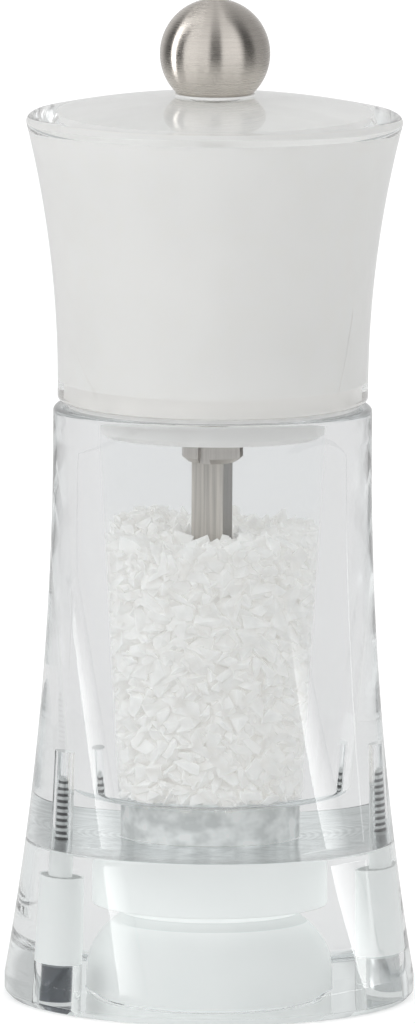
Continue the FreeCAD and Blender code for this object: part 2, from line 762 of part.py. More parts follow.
# Head cap: clear dome over the core, with a flat seat for the knob's washer
head_cap = new_body("head_cap", turn="shaft_turn")
STUD_HOLE = "(stud_radius + loose_fit)"
CAP_EDGE = f"({CAP_RADIUS} - running_fit)"
revolve(head_cap, [
    (STUD_HOLE, CORE_TOP),
    (CAP_EDGE, CORE_TOP),
    (CAP_EDGE, dome_height_at(CAP_EDGE), DOME_ARC, 1),
    ("cap_seat_radius", CAP_SEAT),
    (STUD_HOLE, CAP_SEAT),
])

# Head core: white filling between the shell and the shaft
head_core = new_body("head_core", turn="shaft_turn")
revolve(head_core, [
    (SHAFT_BORE, CORE_FOOT),
    (core_radius(CORE_FOOT, "running_fit"), CORE_FOOT, f"({HEAD_ARC} + head_wall + running_fit)", -1),
    (core_radius(CORE_TOP, "running_fit"), CORE_TOP),
    (SHAFT_BORE, CORE_TOP),
])


def plug_screw_ring(sketch, radius):
    """Circles where the plug's screws are."""
    for index in range(int(value("plug_screw_count"))):
        angle = f"(360 deg * {index} / plug_screw_count)"
        circle(sketch, f"plug_screw_circle * cos{angle}", f"plug_screw_circle * sin{angle}", radius)


cut_up(head_core, "screw_pilots", CORE_FOOT, "plug_screw_grip + loose_fit",
       lambda sketch: plug_screw_ring(sketch, "plug_screw_radius + running_fit"))

# Head plug: centres the head in the mouth and holds the drive plate
head_plug = new_body("head_plug", turn="shaft_turn")
revolve(head_plug, [
    (SHAFT_BORE, PLUG_FOOT),
    ("(plug_radius - edge_round)", PLUG_FOOT),
    ("plug_radius", f"({PLUG_FOOT} + edge_round)"),
    ("plug_radius", HEAD_FOOT),
    ("plug_neck_radius", HEAD_FOOT),
    ("plug_neck_radius", CORE_FOOT),
    (SHAFT_BORE, CORE_FOOT),
])
PLATE_FOOT = f"({CORE_FOOT} - plate_thickness)"
cut_up(head_plug, "plate_pocket", PLATE_FOOT, "plate_thickness",
       lambda sketch: draw(sketch, square("plate_side / 2 + running_fit")))
cut_up(head_plug, "screw_heads", PLUG_FOOT, "plug_screw_head_height",
       lambda sketch: plug_screw_ring(sketch, "plug_screw_head_radius + running_fit"))
cut_up(head_plug, "screw_shanks", PLUG_FOOT, "plug_height + head_floor",
       lambda sketch: plug_screw_ring(sketch, "plug_screw_radius + running_fit"))

# Drive plate: turns the shaft with the head
drive_plate = new_body("drive_plate", turn="shaft_turn")
pad(drive_plate, "plate", PLATE_FOOT, "plate_thickness",
    lambda sketch: draw(sketch, square("plate_side / 2")))
square_hole(drive_plate, PLATE_FOOT, "plate_thickness")

# Screws that join the plug to the core
short_screw = slotted_screw("short_screw", PLUG_FOOT, "plug_screw_head_radius", "plug_screw_head_height",
                            "plug_screw_radius", CORE_FOOT, f"({CORE_FOOT} + plug_screw_grip)",
                            "plug_screw_pitch")
count = int(value("plug_screw_count"))
angles = [math.radians(value("shaft_turn")) + 2 * math.pi * index / count for index in range(count)]
ring = value("plug_screw_circle")
plug_places = [FreeCAD.Vector(ring * math.cos(angle), ring * math.sin(angle), 0) for angle in angles]
plug_screws = group("plug_screws", short_screw, plug_places)

# Knob and its washer
knob_washer = new_body("knob_washer")
revolve(knob_washer, [
    (STUD_HOLE, CAP_SEAT),
    ("knob_washer_radius", CAP_SEAT),
    ("knob_washer_radius", KNOB_FOOT),
    (STUD_HOLE, KNOB_FOOT),
])
knob = new_body("knob")
KNOB_BASE = "sqrt(knob_radius^2 - knob_rise^2)"
KNOB_BORE = "(stud_radius + running_fit)"
revolve(knob, [
    (KNOB_BORE, KNOB_FOOT),
    (KNOB_BASE, KNOB_FOOT, "knob_radius", 1),
    ("knob_radius", KNOB_CENTRE, "knob_radius", 1),
    ("0", f"({KNOB_CENTRE} + knob_radius)"),
    ("0", f"({KNOB_FOOT} + knob_bore_depth)"),
    (KNOB_BORE, f"({KNOB_FOOT} + knob_bore_depth)"),
])

PIECES = [
    reservoir, base, glide_ring, stator, bridge, base_screws, screw_washers, foot_plugs,
    salt_charge,
    bridge_bush,
    spindle, stop_collar, rotor, spring, rotor_washer, rotor_clip,
    head_shell, head_cap, head_core, head_plug, drive_plate, plug_screws, knob_washer,
    knob,
]

document.recompute()
for thing in document.Objects:
    if "Invalid" in thing.State or "Error" in thing.State:
        raise RuntimeError(f"{thing.Label} did not build")
for piece in PIECES:
    if piece.Shape.isNull() or not piece.Shape.isValid() or not piece.Shape.Solids:
        raise RuntimeError(f"{piece.Label} is not a valid solid")
os.makedirs("parts", exist_ok=True)
for piece in PIECES:
    piece.Shape.exportStep(f"parts/{piece.Label}.step")
    print(f"{piece.Label}: {len(piece.Shape.Solids)} solid(s), {piece.Shape.Volume:.1f} mm3")
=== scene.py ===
# %% [markdown]
# # A clear salt mill with a steel ball knob
# This lesson dresses a packed mill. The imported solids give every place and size, and nothing here moves
# them. A solid that already has its true shape only gets a finish. A solid that light passes through is
# built again as a very smooth lathe mesh, because clear plastic shows each flat of a coarse mesh.

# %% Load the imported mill
import math
import random

import bmesh
import bpy
import numpy as np
from mathutils import Matrix, Quaternion, Vector


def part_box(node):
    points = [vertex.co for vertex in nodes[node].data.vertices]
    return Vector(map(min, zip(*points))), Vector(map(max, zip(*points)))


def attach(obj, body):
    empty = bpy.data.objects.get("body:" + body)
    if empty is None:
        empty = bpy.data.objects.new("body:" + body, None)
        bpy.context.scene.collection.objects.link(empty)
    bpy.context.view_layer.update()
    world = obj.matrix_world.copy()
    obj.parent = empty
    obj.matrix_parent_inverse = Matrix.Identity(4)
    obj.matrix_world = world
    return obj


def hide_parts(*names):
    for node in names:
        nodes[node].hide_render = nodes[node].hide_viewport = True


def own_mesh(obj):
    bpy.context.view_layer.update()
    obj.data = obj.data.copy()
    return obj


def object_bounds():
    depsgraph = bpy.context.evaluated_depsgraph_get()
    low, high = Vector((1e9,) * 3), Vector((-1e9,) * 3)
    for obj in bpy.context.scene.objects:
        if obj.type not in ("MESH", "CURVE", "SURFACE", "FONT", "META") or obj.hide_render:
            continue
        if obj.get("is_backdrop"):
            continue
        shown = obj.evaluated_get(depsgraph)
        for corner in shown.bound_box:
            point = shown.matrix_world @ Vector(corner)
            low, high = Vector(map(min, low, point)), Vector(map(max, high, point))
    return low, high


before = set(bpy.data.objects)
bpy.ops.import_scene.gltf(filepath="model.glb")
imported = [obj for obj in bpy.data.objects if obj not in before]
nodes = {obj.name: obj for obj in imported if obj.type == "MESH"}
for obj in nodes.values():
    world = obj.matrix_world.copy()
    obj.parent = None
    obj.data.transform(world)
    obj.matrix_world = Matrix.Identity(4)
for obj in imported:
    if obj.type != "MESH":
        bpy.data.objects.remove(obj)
cad_box = [list(corner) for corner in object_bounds()]
scene = bpy.context.scene
MM = 0.001
print("nodes:", len(nodes), "box in mm:", [[round(x / MM, 1) for x in corner] for corner in cad_box])

# %% [markdown]
# ## Heights and radii
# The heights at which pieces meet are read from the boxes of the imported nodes, so that the lathe outlines
# below fit between the same faces. They are kept in millimetres, the unit in which a turner thinks.


# %% Read the heights and radii of the nodes
def foot(node):
    """Lowest height of a node, in millimetres."""
    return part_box(node)[0].z / MM


def top(node):
    """Highest height of a node, in millimetres."""
    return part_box(node)[1].z / MM


def reach(node):
    """Largest distance of a node's points from the mill's axis, in millimetres."""
    places = np.array([vertex.co for vertex in nodes[node].data.vertices])
    return float(np.hypot(places[:, 0], places[:, 1]).max()) / MM


def bore(node):
    """Smallest distance of a node's points from the mill's axis, in millimetres."""
    places = np.array([vertex.co for vertex in nodes[node].data.vertices])
    return float(np.hypot(places[:, 0], places[:, 1]).min()) / MM


PARTING = top("base")
LIP = top("reservoir")
HEAD_FOOT = foot("head_shell")
CORE_FOOT = foot("head_core")
CORE_TOP = top("head_core")
CAP_SEAT = foot("knob_washer")
KNOB_FOOT = foot("knob")
STATOR_FOOT = foot("stator")
FOOT_RADIUS = reach("base")
HEAD_RADIUS = reach("head_shell")
print(f"parting {PARTING:.2f}, lip {LIP:.2f}, head {HEAD_FOOT:.2f}, foot radius {FOOT_RADIUS:.2f} mm")

# %% [markdown]
# ## Turning outlines on a lathe
# Nearly every piece of a mill comes off a lathe, so one helper turns an outline of radii and heights into
# a closed mesh. Blender's Screw modifier could do this too, but a few lines of code keep the outline closed
# and let it start on the axis. Corners get a small round first, because real edges catch a thin highlight.

# %% Lathe helpers
SEGMENTS = 192
SHARP_ANGLE = math.radians(32)


def arc(centre, radius, start, end, steps):
    """Points of an arc, with angles in degrees, from its first to its last point."""
    angles = [math.radians(start + (end - start) * index / steps) for index in range(steps + 1)]
    return [(centre[0] + radius * math.cos(angle), centre[1] + radius * math.sin(angle)) for angle in angles]


def softened(corners, radius, steps=4, least_turn=20):
    """A closed outline whose sharp corners are rounded, except those on the axis."""
    outline = []
    points = [Vector(corner) for corner in corners]
    for index, here in enumerate(points):
        before = points[index - 1] - here
        after = points[(index + 1) % len(points)] - here
        turn = math.degrees(before.angle(-after))
        if turn < least_turn or here.x < radius:
            outline.append(tuple(here))
            continue
        cut = min(radius, before.length * 0.45, after.length * 0.45)
        start = here + before.normalized() * cut
        end = here + after.normalized() * cut
        for step in range(steps + 1):
            share = step / steps
            place = start * (1 - share) ** 2 + here * 2 * share * (1 - share) + end * share ** 2
            outline.append(tuple(place))
    return outline


def as_mesh(name, places, faces):
    """A mesh object from points in millimetres, with outward faces and sharp edges kept sharp."""
    mesh = bpy.data.meshes.new(name)
    mesh.from_pydata([[c * MM for c in place] for place in places], [], faces)
    work = bmesh.new()
    work.from_mesh(mesh)
    bmesh.ops.remove_doubles(work, verts=work.verts, dist=1e-7)
    bmesh.ops.recalc_face_normals(work, faces=work.faces)
    work.to_mesh(mesh)
    work.free()
    mesh.shade_smooth()
    mesh.set_sharp_from_angle(angle=SHARP_ANGLE)
    piece = bpy.data.objects.new(name, mesh)
    scene.collection.objects.link(piece)
    return piece


def lathe(name, outline, segments=SEGMENTS):
    """Turn a closed outline of radii and heights round the mill's axis."""
    places = []
    for index in range(segments):
        angle = 2 * math.pi * index / segments
        places += [(r * math.cos(angle), r * math.sin(angle), z) for r, z in outline]
    count = len(outline)
    faces = []
    for index in range(segments):
        here = index * count
        there = (index + 1) % segments * count
        for row in range(count):
            after = (row + 1) % count
            if outline[row][0] == 0 and outline[after][0] == 0:
                continue
            corners = [here + row, there + row, there + after, here + after]
            if outline[row][0] == 0:
                corners.pop(1)
            elif outline[after][0] == 0:
                corners.pop(2)
            faces.append(corners)
    return as_mesh(name, places, faces)


def carve(piece, cutters):
    """Cut other meshes out of a piece and remove them."""
    for cutter in cutters:
        cut = piece.modifiers.new(cutter.name, "BOOLEAN")
        cut.object = cutter
        cut.operation = "DIFFERENCE"
        cut.solver = "EXACT"
    bpy.context.view_layer.update()
    evaluated = piece.evaluated_get(bpy.context.evaluated_depsgraph_get())
    carved = bpy.data.meshes.new_from_object(evaluated)
    piece.modifiers.clear()
    piece.data = carved
    carved.shade_smooth()
    carved.set_sharp_from_angle(angle=SHARP_ANGLE)
    for cutter in cutters:
        bpy.data.objects.remove(cutter)
    return piece


def rod(name, radius, low, high, spot, rings=(), segments=64):
    """A round cutter beside the mill's axis, with rings of points between its ends where wanted."""
    wall = [(radius, z) for z in (low, *rings, high)]
    made = lathe(name, [(0, low), *wall, (0, high)], segments)
    made.data.transform(Matrix.Translation(Vector((*spot, 0)) * MM))
    return made


def stands_for(piece, body, slot, *replaced):
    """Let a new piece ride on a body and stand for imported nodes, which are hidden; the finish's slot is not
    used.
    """
    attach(piece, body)
    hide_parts(*replaced)
    print(piece.name, "stands for", ", ".join(replaced), "with", len(piece.data.polygons), "faces")
    return piece


# %% [markdown]
# ## Wiring nodes
# A finish is a small network of shader nodes. A few helpers keep the wiring short: a socket is fed with a
# plain value or with a link, a node gets its inputs by name, and sums, ranges, ramps and mixes have a helper
# each.

# %% Node helpers
WHITE = (1, 1, 1, 1)


def feed(tree, part, socket):
    """Link a socket to another one, or give it a plain value."""
    if isinstance(part, bpy.types.NodeSocket):
        tree.links.new(part, socket)
    else:
        socket.default_value = part


def node(tree, kind, operation=None, **inputs):
    """Place a shader node of a kind, with an operation if it has one, and feed its inputs by name."""
    placed = tree.nodes.new(f"ShaderNode{kind}")
    if operation:
        placed.operation = operation
    for name, part in inputs.items():
        feed(tree, part, placed.inputs[name.replace("_", " ")])
    return placed


def calculated(tree, operation, *parts):
    """Result of a Math node for sockets or numbers."""
    placed = node(tree, "Math", operation)
    for part, socket in zip(parts, placed.inputs):
        feed(tree, part, socket)
    return placed.outputs["Value"]


def spread(tree, value, old, new):
    """A value moved from one range to another and held inside it."""
    placed = node(tree, "MapRange", Value=value, From_Min=old[0], From_Max=old[1], To_Min=new[0],
                  To_Max=new[1])
    return placed.outputs["Result"]


def coordinate(tree, source, axis):
    """One coordinate of a place or direction."""
    return node(tree, "SeparateXYZ", Vector=source).outputs[axis]


def ramp(tree, amount, marks):
    """Colour that runs through marks of place and colour as an amount goes from 0 to 1."""
    shades = node(tree, "ValToRGB", Fac=amount)
    elements = shades.color_ramp.elements
    while len(elements) < len(marks):
        elements.new(0.5)
    for element, (place, colour) in zip(elements, marks):
        element.position = place
        element.color = (*colour, 1)
    return shades.outputs["Color"]


def blended(tree, share, first, second):
    """Shader between two shaders."""
    mix = node(tree, "MixShader", Fac=share)
    tree.links.new(first, mix.inputs[1])
    tree.links.new(second, mix.inputs[2])
    return mix.outputs["Shader"]


print("node helpers are ready")

# %% [markdown]
# ## Effects that several finishes share
# Three effects come back on many surfaces: a soft, cloudy change of gloss from handling, a fine mottle of two
# close tones, and the fine lines that a brush or a drawing die leaves on steel. Each is built once as a node
# group with named sockets.

# %% Node groups
NUMBER = "NodeSocketFloat"
COLOUR = "NodeSocketColor"
# Range in which most of a noise texture's values lie
NOISE = (0.35, 0.65)


def new_group(name, output, kind, **inputs):
    """An empty shader node group, its given sockets by name and the socket of its result."""
    group = bpy.data.node_groups.new(name, "ShaderNodeTree")
    for socket, value in inputs.items():
        socket_type = COLOUR if isinstance(value, tuple) else NUMBER
        made = group.interface.new_socket(socket, in_out="INPUT", socket_type=socket_type)
        made.default_value = value
    group.interface.new_socket(output, in_out="OUTPUT", socket_type=kind)
    given = group.nodes.new("NodeGroupInput").outputs
    return group, given, group.nodes.new("NodeGroupOutput").inputs[output]


def cloudy_gloss():
    """Roughness that drifts between two values in soft clouds."""
    group, given, result = new_group("cloudy gloss", "Roughness", NUMBER, Scale=60, Least=0.1, Most=0.2)
    places = node(group, "TexCoord").outputs["Object"]
    clouds = node(group, "TexNoise", Vector=places, Scale=given["Scale"], Detail=4)
    feed(group, spread(group, clouds.outputs["Fac"], NOISE, (given["Least"], given["Most"])), result)
    return group


def two_tones():
    """Colour that changes between two close tones in a fine mottle."""
    group, given, result = new_group("two tones", "Color", COLOUR, Scale=200, First=WHITE, Second=WHITE)
    places = node(group, "TexCoord").outputs["Object"]
    mottle = node(group, "TexNoise", Vector=places, Scale=given["Scale"])
    mix = node(group, "Mix", Factor=spread(group, mottle.outputs["Fac"], NOISE, (0, 1)))
    mix.data_type = "RGBA"
    colours = [socket for socket in mix.inputs if socket.type == "RGBA"]
    feed(group, given["First"], colours[0])
    feed(group, given["Second"], colours[1])
    feed(group, next(socket for socket in mix.outputs if socket.type == "RGBA"), result)
    return group


def brush_lines():
    """Fine lines across or along the mill's axis, as a height from 0 to 1."""
    group, given, result = new_group("brush lines", "Height", NUMBER, Across=40, Along=6000)
    places = node(group, "TexCoord").outputs["Object"]
    stretch = node(group, "CombineXYZ", X=given["Across"], Y=given["Across"], Z=given["Along"])
    scaled = node(group, "VectorMath", "MULTIPLY", Vector=places)
    feed(group, stretch.outputs["Vector"], scaled.inputs[1])
    lines = node(group, "TexNoise", Vector=scaled.outputs["Vector"], Scale=1, Detail=3)
    feed(group, lines.outputs["Fac"], result)
    return group


CLOUDY_GLOSS = cloudy_gloss()
TWO_TONES = two_tones()
BRUSH_LINES = brush_lines()
print("groups:", [group.name for group in (CLOUDY_GLOSS, TWO_TONES, BRUSH_LINES)])


# %% Material helpers
def new_material(name, **sockets):
    """A material with a Principled shader whose plain sockets are set by name."""
    material = bpy.data.materials.new(name)
    material.use_nodes = True
    shader = material.node_tree.nodes["Principled BSDF"]
    for socket, value in sockets.items():
        shader.inputs[socket.replace("_", " ")].default_value = value
    return material, material.node_tree, shader


def place_group(tree, group, **values):
    """Put a node group into a material with its own values, and give its output."""
    placed = node(tree, "Group")
    placed.node_tree = group
    for socket, value in values.items():
        placed.inputs[socket].default_value = value
    return placed.outputs[0]


def give_gloss(tree, shader, scale, least, most):
    """Drive a shader's roughness with soft clouds."""
    gloss = place_group(tree, CLOUDY_GLOSS, Scale=scale, Least=least, Most=most)
    feed(tree, gloss, shader.inputs["Roughness"])


def tinted(tree, shader, scale, first, second):
    """Drive a shader's colour between two close tones with a fine mottle."""
    tone = place_group(tree, TWO_TONES, Scale=scale, First=(*first, 1), Second=(*second, 1))
    feed(tree, tone, shader.inputs["Base Color"])


def bumped(tree, shader, height, strength, distance):
    """Feed a height through a Bump node into a shader's normal."""
    bump = node(tree, "Bump", Strength=strength, Distance=distance, Height=height)
    feed(tree, bump.outputs["Normal"], shader.inputs["Normal"])


def wear(material, *names):
    """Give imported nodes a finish."""
    for name in names:
        nodes[name].data.materials.clear()
        nodes[name].data.materials.append(material)
        nodes[name].data.shade_smooth()
        nodes[name].data.set_sharp_from_angle(angle=SHARP_ANGLE)


# %% [markdown]
# ## The clear acrylic
# Polished acrylic bends light a little less than glass, and a thick block of it looks faintly cool. A pure
# refraction shader would leave the salt dark, because lamps don't shine through refraction in few samples.
# So a shadow ray passes straight through, which is close to what thin, clear walls do with soft light.

# %% Clear acrylic
ACRYLIC_INDEX = 1.49
ACRYLIC_TINT = (0.975, 0.985, 0.99, 1)
SHADOW_TINT = (0.95, 0.96, 0.965, 1)


def clear_acrylic():
    """Polished clear plastic that lets shadow rays through."""
    material, tree, shader = new_material("clear acrylic", Base_Color=ACRYLIC_TINT, IOR=ACRYLIC_INDEX,
                                          Transmission_Weight=1.0)
    give_gloss(tree, shader, 90, 0.0, 0.012)
    shadow = node(tree, "LightPath").outputs["Is Shadow Ray"]
    through = node(tree, "BsdfTransparent", Color=SHADOW_TINT)
    surface = blended(tree, shadow, shader.outputs["BSDF"], through.outputs["BSDF"])
    feed(tree, surface, tree.nodes["Material Output"].inputs["Surface"])
    return material


ACRYLIC = clear_acrylic()
print("finish:", ACRYLIC.name)

# %% [markdown]
# A drill or a turning tool leaves acrylic matt. Such a face scatters light, so it looks pale, and what lies
# behind it can't be seen: the grinder and the screws' heads stay hidden in the clear foot. The matt faces get
# a painted glow for light scattered up from below, and the bell's shoulder gets less of it, a band of painted
# shade. The flat face at the parting line is turned too, but finer, and shines like silver with thin rings
# from the tool.

# %% Machined acrylic
# Strengths of the painted glow on the machined faces; the least, on the bell's shoulder, makes a band of
# painted shade
POCKET_GLOW = 0.38
DRILL_GLOW = 0.29
BELL_GLOW = 0.29
PAINTED_SHADE_GLOW = 0.15
THROAT_GLOW = 0.2
PALE = (0.74, 0.755, 0.75), (0.77, 0.78, 0.775)
MOTTLED = (0.48, 0.495, 0.495), (0.88, 0.89, 0.89)


def drilled_acrylic(name, glow, scale=160, tones=PALE):
    """Matt pale face left by a drill, with a painted glow of a given strength for light that it would scatter
    from below.
    """
    material, tree, shader = new_material(name, IOR=1.1, Emission_Color=(0.96, 1, 0.99, 1),
                                          Emission_Strength=glow)
    tinted(tree, shader, scale, *tones)
    give_gloss(tree, shader, 300, 0.6, 0.75)
    return material


RING_LINES = 420
RING_SHARE = 0.3
SILVER = (0.42, (0.68, 0.7, 0.705)), (0.85, (0.94, 0.955, 0.96))


def turned_acrylic():
    """Silvery face with thin rings left by a turning tool and salt dust on it."""
    material, tree, shader = new_material("turned acrylic", Metallic=1.0)
    places = node(tree, "TexCoord").outputs["Object"]
    rings = node(tree, "TexWave", Vector=places, Scale=RING_LINES, Distortion=1.5)
    rings.wave_type = "RINGS"
    rings.rings_direction = "Z"
    dust = node(tree, "TexNoise", Vector=places, Scale=700, Detail=4)
    both = calculated(tree, "MULTIPLY_ADD", rings.outputs["Fac"], RING_SHARE, dust.outputs["Fac"])
    feed(tree, ramp(tree, both, SILVER), shader.inputs["Base Color"])
    give_gloss(tree, shader, 300, 0.12, 0.22)
    bumped(tree, shader, rings.outputs["Fac"], 0.15, 0.00002)
    return material


POCKET = drilled_acrylic("bored acrylic", POCKET_GLOW)
DRILLED = drilled_acrylic("drilled acrylic", DRILL_GLOW)
BELL = drilled_acrylic("bell acrylic", BELL_GLOW)
PAINTED_SHADE_ACRYLIC = drilled_acrylic("painted shade acrylic", PAINTED_SHADE_GLOW)
# Salt lies against the throat and shows through its matt wall as a mottle
SALTED = drilled_acrylic("salted acrylic", THROAT_GLOW, 420, MOTTLED)
TURNED = turned_acrylic()
print("finishes:", [made.name for made in (POCKET, DRILLED, BELL, PAINTED_SHADE_ACRYLIC, SALTED, TURNED)])


def machine(piece, finish, machined):
    """Give a second finish to the faces of a piece that a rule picks by radius, height and direction."""
    piece.data.materials.append(finish)
    index = len(piece.data.materials) - 1
    count = 0
    for face in piece.data.polygons:
        radius = math.hypot(face.center.x, face.center.y) / MM
        if machined(radius, face.center.z / MM, face.normal):
            face.material_index = index
            count += 1
    print(piece.name, "has", count, "faces of", finish.name)

# %% [markdown]
# ## Body and foot
# The body flares down to the foot on one long arc that runs across the parting line. The chamber inside is
# a plain taper. Both pieces are turned, and the screw holes are cut afterwards, so that the air round the
# screws bends light as it does on the real mill.

# %% Outline of the flare
NECK_RADIUS = 22.3
NECK = LIP - 5.3
FOOT_HEIGHT = 3.0
FLARE_OUT = FOOT_RADIUS - NECK_RADIUS
FLARE_ARC = (FLARE_OUT ** 2 + (NECK - FOOT_HEIGHT) ** 2) / (2 * FLARE_OUT)
AIR_FILM = 0.03
# Allowances for telling faces apart by radius, height and direction
HAIR = 0.01
LEVEL = 0.9


def flare_radius(z):
    """Radius of the body's flare at a height."""
    drop = NECK - min(max(z, FOOT_HEIGHT), NECK)
    return NECK_RADIUS + FLARE_ARC - math.sqrt(FLARE_ARC ** 2 - drop ** 2)


def flare(low, high, steps):
    """Points of the body's flare between two heights, upwards."""
    heights = [low + (high - low) * index / steps for index in range(steps + 1)]
    return [(flare_radius(z), z) for z in heights]


print("flare arc", round(FLARE_ARC, 1), "mm, parting radius", round(flare_radius(PARTING), 2), "mm")

# %% Reservoir
EDGE = 0.8
FINE_ROUND = 0.12
SHOULDER = 0.8
MOUTH_RADIUS = reach("head_plug") + 0.2
MOUTH_DEPTH = 4.9
CHAMBER_TOP = 16.0
CHAMBER_FOOT = 13.3
CHAMBER_ROUND = 1.2
FLOOR = PARTING + 5.7
THROAT = 8.4
SCREW_CIRCLE = 16.9
SCREW_TURN = math.radians(13)
SCREW_SPOTS = [(side * SCREW_CIRCLE * math.cos(SCREW_TURN), side * SCREW_CIRCLE * math.sin(SCREW_TURN))
               for side in (-1, 1)]
SCREW_HOLE = 1.55
BLIND_TOP = PARTING + 12.5
OVERCUT = 1
MOUTH_FOOT = LIP - MOUTH_DEPTH


def reservoir():
    """Clear body with its chamber, mouth, throat and blind screw holes."""
    outline = flare(PARTING + AIR_FILM, NECK, 40)
    outline += arc((NECK_RADIUS - EDGE, LIP - EDGE), EDGE, 0, 90, 8)
    outline += arc((MOUTH_RADIUS + EDGE, LIP - EDGE), EDGE, 90, 180, 8)
    outline += [(MOUTH_RADIUS, MOUTH_FOOT), (CHAMBER_TOP, MOUTH_FOOT - SHOULDER)]
    outline += arc((CHAMBER_FOOT - CHAMBER_ROUND, FLOOR + CHAMBER_ROUND), CHAMBER_ROUND, 0, -90, 10)
    outline += [(THROAT, FLOOR), (THROAT, PARTING + AIR_FILM)]
    piece = lathe("clear_reservoir", softened(outline, FINE_ROUND))
    cutters = [rod("blind_hole", SCREW_HOLE, PARTING - OVERCUT, BLIND_TOP, spot) for spot in SCREW_SPOTS]
    return carve(piece, cutters)


body_piece = stands_for(reservoir(), "body", "clear_acrylic", "reservoir")
body_piece.data.materials.append(ACRYLIC)


def at_parting(radius, z, normal):
    """Whether a face of the body belongs to the parting line."""
    return z < FLOOR - CHAMBER_ROUND and normal.z < -LEVEL


def in_throat(radius, z, normal):
    """Whether a face of the body belongs to the throat."""
    return z < FLOOR - FINE_ROUND and normal.z > -LEVEL and radius < THROAT + HAIR


machine(body_piece, TURNED, at_parting)
machine(body_piece, SALTED, in_throat)

# %% Foot
OUTLET = 11.6
OUTLET_RIM = 2.5
OUTLET_TOP = 11.4
OUTLET_THROAT = 8.2
FOOT_CHAMFER = 0.9
FOOT_ROUND = 0.25
STATOR_POCKET = 11.05
HEAD_HOLE = 3.1
SHANK_HOLE = 1.65
SCREW_SEAT = top("screw_washers")
CLEAR_TOP = top("foot_plugs") + 0.3
# Foot of the band of painted shade on the bell's shoulder
PAINTED_SHADE_FOOT = OUTLET_TOP - 1.2
SEAT_EDGE = 0.5


def bell(steps):
    """Points of the outlet's bell, from its throat down to its rim."""
    out = OUTLET - OUTLET_THROAT
    drop = OUTLET_TOP - OUTLET_RIM
    radius = (out ** 2 + drop ** 2) / (2 * out)
    lean = math.degrees(math.asin(drop / radius))
    centre = (OUTLET - radius, OUTLET_RIM)
    return arc(centre, radius, lean, 0, steps)


def clear_foot():
    """Clear base with its bell-shaped outlet, stator pocket and deep screw holes."""
    outline = [(OUTLET, 0), (FOOT_RADIUS - FOOT_CHAMFER, 0), (FOOT_RADIUS, FOOT_CHAMFER)]
    outline += flare(FOOT_HEIGHT, PARTING, 20)
    ledge = STATOR_FOOT - AIR_FILM
    outline += [(STATOR_POCKET, PARTING), (STATOR_POCKET, ledge), (OUTLET_THROAT, ledge)]
    outline += bell(24)
    piece = lathe("clear_foot", softened(outline, FOOT_ROUND))
    cutters = [rod("head_hole", HEAD_HOLE, -OVERCUT, SCREW_SEAT, spot, (CLEAR_TOP,)) for spot in SCREW_SPOTS]
    cutters += [rod("shank_hole", SHANK_HOLE, -OVERCUT, PARTING + OVERCUT, spot) for spot in SCREW_SPOTS]
    return carve(piece, cutters)


foot_piece = stands_for(clear_foot(), "body", "clear_acrylic", "base")
foot_piece.data.materials.append(ACRYLIC)


def in_pocket(radius, z, normal):
    """Whether a face belongs to the stator's pocket or to the throat below it."""
    return radius < OUTLET + HAIR and z > OUTLET_TOP


def in_painted_shade(radius, z, normal):
    """Whether a face belongs to the bell's shoulder, which gets less painted glow as a band of painted shade.
    """
    return radius < OUTLET + HAIR and PAINTED_SHADE_FOOT < z < OUTLET_TOP


def in_bell(radius, z, normal):
    """Whether a face belongs to the bell below its shoulder."""
    return radius < OUTLET + HAIR and z < PAINTED_SHADE_FOOT


def in_hole(radius, z, normal):
    """Whether a face belongs to a screw hole above its plug."""
    return OUTLET + HAIR < radius < SCREW_CIRCLE + HEAD_HOLE and CLEAR_TOP < z < PARTING - SEAT_EDGE


machine(foot_piece, POCKET, in_pocket)
machine(foot_piece, PAINTED_SHADE_ACRYLIC, in_painted_shade)
machine(foot_piece, BELL, in_bell)
machine(foot_piece, DRILLED, in_hole)

# %% [markdown]
# ## The head
# The head is a clear flared shell and a clear dome, bonded over a white core. Bonded plastic has no air
# between its layers, so light goes straight from the clear plastic onto the white. To get that, the shell's
# inner face lies a hair inside the core, and the white starts before any air does.

# %% Clear head
HEAD_FOOT_RADIUS = 21.7
HEAD_STRAIGHT = HEAD_FOOT + 2.1
HEAD_RIM = HEAD_FOOT + 39.2
RIM_ROUND = 1.1
HEAD_WALL = 4.3
BOND = 0.1
PLUG_NECK_RADIUS = 13.9
HEAD_HOLE_RADIUS = PLUG_NECK_RADIUS - BOND
CAP_SEAT_RADIUS = 6.2
STUD_HOLE = bore("head_cap")
HEAD_OUT = HEAD_RADIUS - HEAD_FOOT_RADIUS
HEAD_ARC = (HEAD_OUT ** 2 + (HEAD_RIM - HEAD_STRAIGHT) ** 2) / (2 * HEAD_OUT)
DOME_EDGE = HEAD_RADIUS - RIM_ROUND
DOME_RISE = 2.8
DOME_ARC = (DOME_EDGE ** 2 + DOME_RISE ** 2) / (2 * DOME_RISE)
DOME_TOP = HEAD_RIM + RIM_ROUND + DOME_RISE


def head_wall(low, high, inset, steps):
    """Points of the head's flare between two heights, moved inwards by an inset."""
    points = []
    for index in range(steps + 1):
        z = low + (high - low) * index / steps
        rise = max(z - HEAD_STRAIGHT, 0)
        points.append((HEAD_FOOT_RADIUS + HEAD_ARC - math.sqrt((HEAD_ARC + inset) ** 2 - rise ** 2), z))
    return points


def dome(start, end, steps):
    """Points of the dome between two radii."""
    radii = [start + (end - start) * index / steps for index in range(steps + 1)]
    return [(r, DOME_TOP - DOME_ARC + math.sqrt(DOME_ARC ** 2 - r ** 2)) for r in radii]


